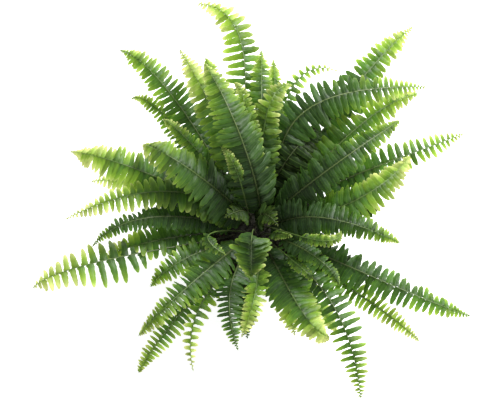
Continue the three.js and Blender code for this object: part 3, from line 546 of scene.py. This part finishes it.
def packed_turns(node, number, rib, leaflet, bare, roll):
    """How the part's own leaflets are turned (degrees) and shortened (a share, or 0 for none), left
    and right, from foot to tip. A leaflet's end is looked up among the node's corners."""
    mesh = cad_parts[node].data
    tree = kdtree.KDTree(len(mesh.vertices))
    for index, vertex in enumerate(mesh.vertices):
        tree.insert(vertex.co, index)
    tree.balance()
    pairs = round(rib.length * (1 - bare) / CAD_PITCH)
    shares = leaf_station(bare, 1 - (1 - np.arange(pairs + 1) / pairs) ** CROWDING)
    point, along, side, up = rib.frames(shares, roll)
    width, depth = np.array(girth(shares))[:, :, None]
    bends = np.full((2, pairs), np.nan)
    trims = np.zeros((2, pairs))
    for row, hand in enumerate((1, -1)):
        corner = point + side * width / 2 * hand + up * depth / 3
        root = (corner[:-1] + corner[1:]) / 2
        for pair in range(pairs):
            key = pair * 2 + 1 - row
            share = (pair + 0.5) / pairs
            length = leaflet * leaflet_shape(share) * (1 + LENGTH_SPREAD * draw(number, key, 2))
            forward = math.radians(FORWARD_AT_FOOT + FORWARD_GAIN * share
                                   + FORWARD_SPREAD * draw(number, key, 3))
            droop = (DROOP + LEAFLET_DROOP_SPREAD * draw(number, key, 4)
                     + FROND_DROOP_SPREAD * draw(number, 0, 5))
            across = side[pair] * hand * math.cos(forward) + along[pair] * math.sin(forward)
            for shorter, bend in itertools.product(SHORTENINGS, BENDS):
                size, turn = length * shorter, math.radians(droop + bend)
                tip = (root[pair] + across * size * math.cos(turn)
                       - up[pair] * size * math.sin(turn) - UPRIGHT * CAD_SAG * size / SAG_LENGTH)
                if tree.find(Vector(tip * MM))[2] < SAME_CORNER:
                    bends[row, pair], trims[row, pair] = bend, shorter
                    break
    for row in range(2):
        known = np.flatnonzero(~np.isnan(bends[row]))
        bends[row] = np.interp(np.arange(pairs), known, bends[row][known]) if len(known) else 0
    return bends, trims


# ---- leaflets
# Steps along and across a leaflet, and the shares that shape it. GROOVE and UNEVEN are in mm.
ALONG = np.array([0, .018, .04, .07, .11, .16, .22, .28, .34, .40, .46, .52, .58, .64, .70,
                  .76, .815, .865, .91, .945, .973, 1.0])
ACROSS = np.array([-1, -.66, -.28, 0, .28, .66, 1])
EAR, EAR_AT, EAR_SPAN = 0.26, 0.06, 0.055
SCALLOPS, RIPPLES, WAVES, UNEVEN = 0.05, 0.05, 0.045, 0.35
SWEEP, EDGE_FALL, GROOVE, GROOVE_SPAN = 0.05, 0.24, 0.24, 0.16
# Towards a leaflet's tip its green is lighter; towards its foot it is darkened as painted shade.
TIP_FRESHER, TIP_FRESHER_IF_FRESH, FOOT_PAINTED_SHADE = 0.19, 0.32, 0.17


def leaflets(piece, hand, root, heading, side, up, forward, droop, length, width, curl, twist,
             level, fresh, tone, seed):
    """Adds leaflets on the left (hand 1) or right (-1), one per row of the arrays: arched, blunt
    blades with an ear at the foot of the forward edge, a grooved midrib, scalloped margins and
    turned-down edges. heading, side and up are the rib's frame, and forward is the lean to its
    tip. Each turns by a share (level) of the angle that would lay it flat under the sky. Angles
    are in radians, and length and width in millimetres."""
    droop, length, width, curl, twist, level, fresh, tone, seed = (
        np.asarray(values, float).reshape(-1, 1, 1)
        for values in (droop, length, width, curl, twist, level, fresh, tone, seed))
    u, v = ALONG[:, None], ACROSS
    cosine, sine = np.cos(forward)[:, None], np.sin(forward)[:, None]
    out = (side * hand * cosine + heading * sine)[:, None, None, :]
    wide = (heading * cosine - side * hand * sine)[:, None, None, :]
    over = up[:, None, None, :]
    flat = -np.arctan2(wide[..., 2], np.maximum(over[..., 2], 0.25)) * level
    # the midrib is an arc whose ends lie at the mean droop
    angle = droop + curl * (2 * u - 1)
    step = np.diff(ALONG, prepend=0)[:, None]
    middle = droop + curl * (2 * (u - step / 2) - 1)
    reach = np.cumsum(np.cos(middle) * step, axis=1) * length
    fall = np.cumsum(np.sin(middle) * step, axis=1) * length
    normal = over * np.cos(angle)[..., None] + out * np.sin(angle)[..., None]
    # outline: a short stalk, near-parallel sides, a blunt end
    rise = 0.88 + 0.12 * smooth(u / 0.04)
    taper = (1.04 - 0.27 * u) * np.maximum(1 - u ** 5.6, 0.0) ** 0.54 + 0.04 * u ** 6
    ear = EAR * np.exp(-((u - EAR_AT) / EAR_SPAN) ** 2) * (v > 0)
    teeth = 1 - SCALLOPS * (np.arange(len(ALONG)) % 2)[:, None] * smooth((u - 0.08) / 0.2)
    ripple = 1 + RIPPLES * np.sin(u * 23 + seed * 9 + np.sign(v) * 1.3) * np.abs(v)
    half = width / 2 * rise * (taper + ear) * teeth * ripple
    # relief: turned-down edges, a groove that fades towards the tip, and low waves
    groove = GROOVE * np.exp(-(v / GROOVE_SPAN) ** 2) * smooth(u * 8) * (1 - u)
    arch = -EDGE_FALL * half * v * v - groove
    waves = WAVES * width * np.abs(v) * np.sin(u * 15 + seed * 17 + v * 1.6) * smooth(u * 5)
    lift = arch + waves + UNEVEN * np.sin(u * 5 + seed * 31) * u
    turn = twist * (0.35 + 0.65 * u) + flat * smooth(u / 0.12)
    across, ahead = v * half, SWEEP * length * u * u
    points = (root[:, None, None, :] + out * reach[..., None] - over * fall[..., None]
              + wide * (across * np.cos(turn) + ahead)[..., None]
              + normal * (across * np.sin(turn) + lift)[..., None])
    count, rows, columns = points.shape[:3]
    cells = grid_faces(rows, columns)[:, ::hand]
    faces = cells + (np.arange(count) * rows * columns)[:, None, None]
    # the green is lighter towards the tip and darkened towards the foot as painted shade
    young = fresh + (TIP_FRESHER + TIP_FRESHER_IF_FRESH * fresh) * u ** 3 - FOOT_PAINTED_SHADE * (1 - u) ** 2
    values = {"fresh": np.clip(young, 0, 1), "tone": tone, "across": v, "vein": u * length}
    piece.add(points, [faces.reshape(-1, 4)], 0, **{
        name: np.broadcast_to(value, (count, rows, columns)).ravel() for name, value in values.items()})


# ---- stems and hairs
RING = np.arange(12) / 12 * 2 * math.pi
HAIR_ROOT, HAIR_SAG = 0.25, 0.12


def tube(piece, point, side, up, width, depth, slot, **values):
    """A grooved stem through the frames, its first end closed and its last drawn to a point."""
    groove = 1 - 0.22 * np.exp(-((RING - math.pi / 2) / 0.42) ** 2)
    across = (np.cos(RING) * groove)[:, None] * width[:, None, None] * 0.42
    over = (np.sin(RING) * groove - 0.15)[:, None] * depth[:, None, None] * 0.45
    rings = point[:, None, :] + side[:, None, :] * across + up[:, None, :] * over
    last = point[-1:] + (point[-1:] - point[-2:-1]) * 0.3
    full = {name: np.concatenate([np.repeat(value, len(RING)), value[:1], value[-1:]])
            for name, value in values.items()}
    piece.add(np.concatenate([rings.reshape(-1, 3), point[:1], last]),
              closed_faces(len(point), len(RING)), slot, **full)


def hairs(piece, root, direction, length, thickness, slot):
    """Slim three-sided hairs, rooted just under the surface."""
    direction = unit(direction)
    aside = unit(np.cross(direction, direction[:, [1, 2, 0]] + 0.31))
    other = np.cross(direction, aside)
    turn = np.arange(3) * 2 * math.pi / 3
    length, thickness = length[:, None], thickness[:, None, None]
    base = ((root - direction * HAIR_ROOT)[:, None, :]
            + aside[:, None, :] * np.cos(turn)[:, None] * thickness
            + other[:, None, :] * np.sin(turn)[:, None] * thickness)
    tip = (root + direction * length - UPRIGHT * length * HAIR_SAG)[:, None, :]
    four = np.array([[0, 1, 3], [1, 2, 3], [2, 0, 3], [2, 1, 0]])
    faces = four + (np.arange(len(root)) * 4)[:, None, None]
    piece.add(np.concatenate([base, tip], 1), [faces.reshape(-1, 3)], slot)


def stem_hairs(piece, rng, frames, width, depth, length, slot):
    """Hairs all round a stem, one at each of the frames, of lengths between the two given."""
    point, along, side, up = frames
    count = len(point)
    angle = rng.uniform(0, 2 * math.pi, count)
    outward = side * np.cos(angle)[:, None] + up * np.sin(angle)[:, None]
    surface = (point + side * (np.cos(angle) * width * 0.46)[:, None]
               + up * ((np.sin(angle) - 0.15) * depth * 0.46)[:, None])
    way = outward + along * rng.uniform(0.2, 1.1, count)[:, None]
    hairs(piece, surface, way, rng.uniform(*length, count), rng.uniform(0.09, 0.17, count), slot)


# ---- fronds
def frond_rib(piece, rib, roll, greening, pale):
    """The rib, from its seat in the crown to its tip."""
    share = np.linspace(0, 1, max(int(rib.length / 4), 24))
    point, along, side, up = rib.frames(share, roll)
    seat = point[:1] - along[:1] * SEAT_DEPTH
    share, side, up = (np.concatenate([values[:1], values]) for values in (share, side, up))
    tube(piece, np.concatenate([seat, point]), side, up, *girth(share, 0.7), 1,
         along=np.clip(share * greening, 0, 1), pale=np.full(len(share), float(pale)))


def frond_leaflets(piece, rng, number, rib, roll, leaflet, bare, freshness):
    """Leaflets that stand closer together than the part's, and alternate."""
    packed = packed_turns(f"frond_{number:02d}", number, rib, leaflet, bare, roll)
    usual_pitch = float(np.clip(leaflet * 0.22 + 2.2, 4.8, 9.8))
    shaded = number in SHADED
    pitch, inner_width, outer_width, freshening = HABITS.get(
        number, (usual_pitch, *(SHADED_HABIT if shaded else USUAL_HABIT)))
    leafy = rib.length * (1 - bare)
    pairs = max(round(leafy / pitch), 6)
    vary = lambda spread: rng.uniform(-spread, spread, pairs)
    for hand, bends, trims in zip((1, -1), *packed):
        middle = np.clip((np.arange(pairs) + 0.5 + STAGGER * hand) / pairs, 0, 0.999)
        along_leafy = 1 - (1 - middle) ** TIP_CROWDING
        gap = leafy * TIP_CROWDING * (1 - middle) ** (TIP_CROWDING - 1) / pairs
        middle = 1 - (1 - along_leafy) ** (1 / CROWDING)
        # its place among the part's leaflets, whose turns and lengths it takes over
        spots = np.arange(len(bends))
        spot = np.clip(middle * len(bends) - 0.5, 0, len(bends) - 1)
        kept = trims[np.round(spot).astype(int)] > 0
        trim = np.maximum(np.interp(spot, spots, trims), SHORTENINGS[-1])
        station = leaf_station(bare, along_leafy)
        point, along, side, up = rib.frames(station, roll)
        width, depth = np.array(girth(station))[:, :, None]
        root = point + side * width * 0.12 * hand + up * depth * 0.18
        ending = smooth((middle - ENDING_FROM) / (1 - ENDING_FROM))
        ending = lerp(1, ENDING.get(number, USUAL_ENDING), ending)
        length = leaflet * FULLER.get(number, 1) * leaflet_shape(middle) * trim * ending
        length = length * (1 + vary(LENGTH_VARIES))
        spacing = lerp(inner_width, outer_width, smooth((middle - 0.15) / 0.5)) + vary(WIDTH_VARIES)
        spacing *= lerp(1, 0.8, smooth((middle - 0.75) / 0.25))
        forward = np.radians(FORWARD_AT_FOOT + FORWARD_GAIN * middle
                             + LEANING.get(number, USUAL_LEANING) + vary(LEAN_VARIES))
        droop = np.radians(DROOP + FROND_DROOP_SPREAD * float(draw(number, 0, 5))
                           + np.interp(spot, spots, bends) + vary(DROOP_VARIES) + MORE_DROOP)
        ripening = np.clip((station - 0.2) / 0.8, 0, 1) ** 2
        fresh = np.clip(freshness - 0.12 + (freshening + 0.12) * ripening
                        + 0.05 * rng.normal(size=pairs), 0, 1)
        # Painted shade: leaflets near the frond's foot are darker, and those of shaded fronds more so.
        # The rest of the tone differs at random.
        tone = vary(TONE_VARIES) - 0.15 * (1 - ripening) - (0.4 if shaded else 0)
        blade = np.minimum(gap * spacing, length * 0.5 + 1.0)
        curl = np.radians(10 + 9 * rng.normal(size=pairs))
        twist = np.radians(20 + 15 * rng.normal(size=pairs))
        level, seed = 0.72 + vary(0.15), vary(1)
        leaflets(piece, hand, *(values[kept] for values in (
            root, along, side, up, forward, droop, length, blade, curl, twist, level, fresh, tone, seed)))
    # the last leaflet ends the rib
    leaflets(piece, 1, *rib.frames([LAST_LEAFLET], roll), forward=np.array([math.pi / 2]),
             droop=0.2, length=leaflet * 0.07 + 1.6, width=leaflet * 0.03 + 1.4, curl=0.2,
             twist=0.1, level=0, fresh=min(freshness + freshening, 1), tone=0, seed=0)


def frond(number, row):
    """A leafy frond: its rib, its leaflets, and scales, thick at the foot and few at the tip."""
    bearing, out, lean, via, tip, leaflet, bare, freshness, *curve = row
    shaded = number in SHADED
    rng = np.random.default_rng(FROND_SEED + number)
    rib = Rib(bearing, out, lean, via, tip, *curve)
    roll = math.radians(GREATEST_ROLL) * float(draw(number, 0, 1))
    piece = Piece()
    # Painted shade: the rib of a shaded frond stays dark.
    frond_rib(piece, rib, roll, 0.3 if shaded else 0.7 + 0.7 * freshness, number in PALE_RIBS)
    frond_leaflets(piece, rng, number, rib, roll, leaflet, bare, freshness)
    where = rng.uniform(0.004, 1, int(90 + rib.length * 0.25)) ** 2.4 * 0.95
    stem_hairs(piece, rng, rib.frames(where, roll), *girth(where), (1.0, 2.6), 2)
    node = f"frond_{number:02d}"
    settle(piece.make(f"leafy_{node}", [SHADE_DIMMED_LEAF if shaded else LEAF, RIB, SCALE]), node)


for index, row in enumerate(FRONDS):
    frond(index + 1, row)


# ---- coiled young fronds
def bead(piece, centre, axes, **values):
    """A small rounded bud with the given three half-axes."""
    rows, columns = 5, 8
    lat = np.linspace(-math.pi / 2, math.pi / 2, rows + 2)[1:-1, None]
    lon = np.arange(columns) / columns * 2 * math.pi
    ball = np.stack([np.cos(lat) * np.cos(lon), np.cos(lat) * np.sin(lon),
                     np.broadcast_to(np.sin(lat), (rows, columns))], -1).reshape(-1, 3)
    ball = np.concatenate([ball, [[0, 0, -1], [0, 0, 1]]])
    piece.add(centre + ball @ np.array(axes), closed_faces(rows, columns), **values)


def fiddlehead(number, bearing, out, lean, height, coil, heading):
    """A young frond: a stalk that ends in a coil, with rolled-up leaflets on both its sides."""
    rng = np.random.default_rng(FIDDLEHEAD_SEED + number)
    foot = foot_of(bearing, out)
    lean_way = lean_towards(bearing, lean)
    ahead = on_ring(heading, 1, 0)
    level = np.cross(UPRIGHT, ahead)
    centre = foot + lean_way * height + ahead * coil

    def on_coil(share):
        share = np.atleast_1d(share)
        radius = coil * (1 - COIL_TIGHTENING * share)
        angle = math.pi - share * COIL_TURNS * 2 * math.pi
        return (centre + ahead * (np.cos(angle) * radius)[:, None]
                + UPRIGHT * (np.sin(angle) * radius)[:, None])

    stalk = np.linspace(-SEAT_DEPTH / height, 0.94, 26)
    turn = np.linspace(0, 1.03, 56)
    point = np.concatenate([foot + lean_way * (stalk * height)[:, None], on_coil(turn)])
    along = unit(np.gradient(point, axis=0))
    side = unit(level - along * (along @ level)[:, None])
    up = np.cross(along, side)
    share = np.concatenate([np.clip(stalk, 0, 1) * 0.5, 0.5 + turn / 2])
    width, depth = lerp(STALK_WIDTH, 2, share), lerp(STALK_DEPTH, 1.8, share)
    piece = Piece()
    tube(piece, point, side, up, width, depth, 0, along=share)
    for place in np.linspace(0.02, 0.97, 17):
        middle = on_coil(place)[0]
        inward = unit(centre - middle)
        size = 1.5 - 0.6 * place
        axes = [np.cross(level, inward) * size * 0.62, level * size * 0.72, inward * size * 1.1]
        for hand in (1, -1):
            bead(piece, middle + level * hand * 1.15 + inward * 0.75, axes, along=0.95)
    pick = rng.integers(1, len(point) - 1, FUZZ_HAIRS)
    jitter = rng.uniform(-0.5, 0.5, FUZZ_HAIRS)[:, None]
    spots = point[pick] + (point[pick + 1] - point[pick]) * jitter
    stem_hairs(piece, rng, (spots, along[pick], side[pick], up[pick]), width[pick], depth[pick],
               (1.2, 3.0), 1)
    settle(piece.make(f"coiled_fiddlehead_{number}", [YOUNG, FUZZ]), f"fiddlehead_{number}")


YOUNG = young_look()
for index, row in enumerate(FIDDLEHEADS):
    fiddlehead(index + 1, *row)


# ---- pot, soil and crown
SOIL_GAP, GRAINS, PERLITE_SHARE, CROWN_SCALES = 0.3, 420, 0.22, 1500


def wall_radius(height):
    return lerp(POT_BASE, POT_RIM - BAND_STEP, height / POT_HEIGHT)


def turned(profile, columns=144):
    """A lathe of [radius, height] points, from the axis round and back to it, closed at both ends."""
    profile = np.array(profile, float)
    turn = np.arange(columns) / columns * 2 * math.pi
    radius, height = profile[1:-1, :1], profile[1:-1, 1:]
    points = np.stack([radius * np.cos(turn), radius * np.sin(turn),
                       np.broadcast_to(height, (len(height), columns))], -1).reshape(-1, 3)
    points = np.concatenate([points, [[0, 0, profile[0, 1]], [0, 0, profile[-1, 1]]]])
    piece = Piece()
    piece.add(points, closed_faces(len(radius), columns))
    return piece


def rounded(corner, before, after, radius):
    """Points of a small rounding at a corner of a profile."""
    corner, before, after = np.array([corner, before, after], float)
    start = corner + unit(before - corner) * radius
    end = corner + unit(after - corner) * radius
    t = np.linspace(0, 1, 5)[:, None]
    return list((1 - t) ** 2 * start + 2 * (1 - t) * t * corner + t * t * end)


def pot():
    """The pot, from corners as ((radius, height), rounding): foot ring, wall with a shallow bead,
    band, rim and inside."""
    band = POT_HEIGHT - BAND_HEIGHT
    inner = lambda height: wall_radius(height) - POT_WALL
    corners = [
        ((0, 1.2), 0), ((POT_BASE - 9, 1.2), 0.8), ((POT_BASE - 7.5, 0), 0.8),
        ((POT_BASE - 0.6, 0), 1.4), ((wall_radius(22), 22), 0), ((wall_radius(22) + 0.5, 22.6), 0.3),
        ((wall_radius(24) + 0.5, 24), 0.3), ((wall_radius(24.6), 24.6), 0),
        ((wall_radius(band), band), 1.0), ((POT_RIM - 0.8, band + 2.5), 1.0),
        ((POT_RIM - 0.45, POT_HEIGHT - 7), 0), ((POT_RIM - 0.1, POT_HEIGHT - 6), 0.5),
        ((POT_RIM, POT_HEIGHT), 1.2), ((inner(POT_HEIGHT) + 0.2, POT_HEIGHT), 0.9),
        ((inner(POT_FLOOR), POT_FLOOR), 1.5), ((0, POT_FLOOR), 0)]
    profile = []
    for index, (corner, radius) in enumerate(corners):
        profile += [corner] if not radius else rounded(
            corner, corners[index - 1][0], corners[index + 1][0], radius)
    body = turned(profile).make("grow_pot", [pot_look()])
    cutters = []
    for hole in range(DRAIN_HOLES):
        bpy.ops.mesh.primitive_cylinder_add(
            vertices=40, radius=DRAIN_RADIUS * MM, depth=0.02,
            location=Vector(on_ring(360 / DRAIN_HOLES * hole, DRAIN_RING, 1) * MM))
        cutters.append(bpy.context.object)
        bore = body.modifiers.new("drain", "BOOLEAN")
        bore.operation, bore.solver, bore.object = "DIFFERENCE", "MANIFOLD", cutters[-1]
    cut = bpy.data.meshes.new_from_object(body.evaluated_get(bpy.context.evaluated_depsgraph_get()))
    body.modifiers.clear()
    body.data = cut
    for cutter in cutters:
        bpy.data.objects.remove(cutter)
    cut.set_sharp_from_angle(angle=math.radians(38))
    settle(body, "pot")


def lumpy(points, size, amount, seed):
    """Sums a few sine waves into a repeatable uneven height for each point."""
    rng = np.random.default_rng(seed)
    total = np.zeros(len(points))
    for octave in range(4):
        for _ in range(5):
            way = rng.normal(size=2)
            way *= (2 ** octave) / size / np.linalg.norm(way) * 2 * math.pi
            total += np.sin(points[:, 0] * way[0] + points[:, 1] * way[1]
                            + rng.uniform(0, 6.28)) / 2 ** octave / 5
    return total * amount


def soil_top(share):
    """Height of the smooth soil at a share of the way from the crown's recess to the pot."""
    return SOIL_LEVEL - SOIL_MOUND * (0.6 * share + 0.4 * share ** 2)


def soil():
    """The soil, with its recess for the crown and a lumpy top."""
    inner = wall_radius(SOIL_LEVEL - SOIL_MOUND) - POT_WALL - 0.5
    foot = POT_FLOOR + SOIL_GAP
    recess, sunk = CROWN_RADIUS + SOIL_GAP, SOIL_LEVEL - CROWN_SUNK - SOIL_GAP
    heights = [(lerp(recess, inner, share), soil_top(share)) for share in np.linspace(1, 0.06, 20)]
    profile = ([(0, foot), (wall_radius(foot) - POT_WALL - 0.6, foot)] + heights
               + [(recess, SOIL_LEVEL), (recess, sunk), (0, sunk)])
    piece = turned(profile, 180)
    points = piece.points[0]
    radius = np.hypot(points[:, 0], points[:, 1])
    on_top = (points[:, 2] > SOIL_LEVEL - 6) & (radius > recess + 0.5) & (radius < inner - 0.5)
    points[on_top, 2] += lumpy(points[on_top], 16, 1.5, 5) - 0.9
    settle(piece.make("peat_soil", [soil_look()]), "soil")
    grit(recess, inner)


def grit(recess, inner):
    """Bark chips and perlite grains, half sunk in the top of the soil."""
    rng = np.random.default_rng(GRIT_SEED)
    block = bmesh.new()
    bmesh.ops.create_icosphere(block, subdivisions=2, radius=1)
    ball = np.array([corner.co for corner in block.verts])
    skin = np.array([[corner.index for corner in face.verts] for face in block.faces])
    block.free()
    piece = Piece()
    for _ in range(GRAINS):
        radius = math.sqrt(rng.uniform((recess + 2.5) ** 2, (inner - 3.5) ** 2))
        height = soil_top((radius - recess) / (inner - recess)) - 0.7
        white = rng.random() < PERLITE_SHARE
        axes = (np.array([1, 0.85, 0.8]) * rng.uniform(0.6, 1.3) if white
                else np.array([rng.uniform(1.2, 4.2), rng.uniform(0.7, 1.7), rng.uniform(0.35, 0.8)]))
        spin = np.linalg.qr(np.eye(3) + rng.normal(size=(3, 3)) * (0.9 if white else 0.25))[0]
        yaw = rng.uniform(0, 2 * math.pi)
        cosine, sine = math.cos(yaw), math.sin(yaw)
        yaw = np.array([[cosine, -sine, 0], [sine, cosine, 0], [0, 0, 1]])
        rough = 1 + 0.16 * np.sin(ball @ rng.normal(size=3) * 4)
        rough = rough + 0.1 * np.sin(ball @ rng.normal(size=3) * 8)
        shape = (ball * rough[:, None] * axes) @ spin.T @ yaw.T
        place = on_ring(math.degrees(rng.uniform(0, 2 * math.pi)), radius, height)
        piece.add(shape + place, [skin], white=float(white))
    bits = piece.make("bark_and_perlite_on_soil", [grit_look()])
    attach(bits, "root")


def crown():
    """The rootstock: a lumpy dome with a straight side below it, under chaffy scales."""
    bearings = np.arange(120) / 120 * 360
    rings = []
    for share in [*np.linspace(0.02, 0.985, 34), 1.0, 1.0]:
        ring = np.array([on_ring(bearing, share * CROWN_RADIUS, 0) for bearing in bearings])
        height = crown_height(min(share, 0.99) * CROWN_RADIUS, bearings)
        ring[:, 2] = SOIL_LEVEL + height + lumpy(ring, 13, 1.5, 9) * (share < 0.99) - 0.6
        rings.append(ring)
    rings[-1][:, 2] = SOIL_LEVEL - CROWN_SUNK
    piece = Piece()
    piece.add(np.concatenate([*rings, [[0, 0, SOIL_LEVEL + CROWN_RISE - 0.5]],
                              [[0, 0, SOIL_LEVEL - CROWN_SUNK]]]),
              closed_faces(len(rings), len(bearings), flip=True))
    rng = np.random.default_rng(SCALES_SEED)
    bearing = rng.uniform(0, 360, CROWN_SCALES)
    distance = CROWN_RADIUS * np.sqrt(rng.uniform(0, 0.97, CROWN_SCALES))
    root = np.stack([np.cos(np.radians(bearing)) * distance, np.sin(np.radians(bearing)) * distance,
                     SOIL_LEVEL + crown_height(distance, bearing) - 0.8], 1)
    way = unit(root - UPRIGHT * (SOIL_LEVEL - 20)) + rng.normal(size=(CROWN_SCALES, 3)) * 0.55
    length, thickness = rng.uniform(2.5, 6, CROWN_SCALES), rng.uniform(0.16, 0.34, CROWN_SCALES)
    hairs(piece, root, way, length, thickness, 1)
    # The crown's scales are near-black as painted shade under the fronds.
    dark = scale_look("crown_scales_painted_shade", (0.034, 0.032, 0.015), (0.012, 0.012, 0.006))
    settle(piece.make("scaly_crown", [crown_look(), dark]), "crown")


pot()
soil()
crown()


# ---- floor, lights and camera
FLOOR_HALF = 4.0
SKY, SKY_STRENGTH = (0.97, 0.985, 1.0, 1), 0.52
KEY_PLACE, KEY_TARGET, KEY_SIZE, KEY_POWER = (1.5, 1.5, 2.3), (0, 0, 0.2), 1.1, 172
LENS, SENSOR, FURTHEST = 108, 36, 50
CAMERA_PLACE = (-0.008, -0.578, 2.463)
CAMERA_WAY = (0, 0.2588, -0.9659)  # 15 degrees off straight down


def put(name, data, place, way):
    """Adds a light or a camera that looks the given way."""
    item = add_object(name, data)
    item.location = place
    item.rotation_euler = Vector(way).to_track_quat("-Z", "Y").to_euler()
    return item


def studio():
    """Floor, soft world, key light and camera."""
    mesh = bpy.data.meshes.new("floor")
    corners = [(x * FLOOR_HALF, y * FLOOR_HALF, 0) for x, y in ((-1, -1), (1, -1), (1, 1), (-1, 1))]
    mesh.from_pydata(corners, [], [(0, 1, 2, 3)])
    mesh.materials.append(floor_look())
    floor = add_object("floor", mesh)

    world = bpy.data.worlds.new("soft_studio")
    world.use_nodes = True
    sky = world.node_tree.nodes["Background"].inputs
    sky["Color"].default_value, sky["Strength"].default_value = SKY, SKY_STRENGTH
    bpy.context.scene.world = world

    key = bpy.data.lights.new("key_panel", "AREA")
    key.shape, key.size, key.energy = "SQUARE", KEY_SIZE, KEY_POWER
    put("key_panel", key, KEY_PLACE, Vector(KEY_TARGET) - Vector(KEY_PLACE))

    camera = bpy.data.cameras.new("camera")
    camera.lens, camera.sensor_width, camera.sensor_fit = LENS, SENSOR, "HORIZONTAL"
    camera.clip_end = FURTHEST
    bpy.context.scene.camera = put("camera", camera, CAMERA_PLACE, CAMERA_WAY)
    view = bpy.context.scene.view_settings
    view.view_transform, view.look, view.exposure, view.gamma = "Standard", "None", 0, 1


studio()
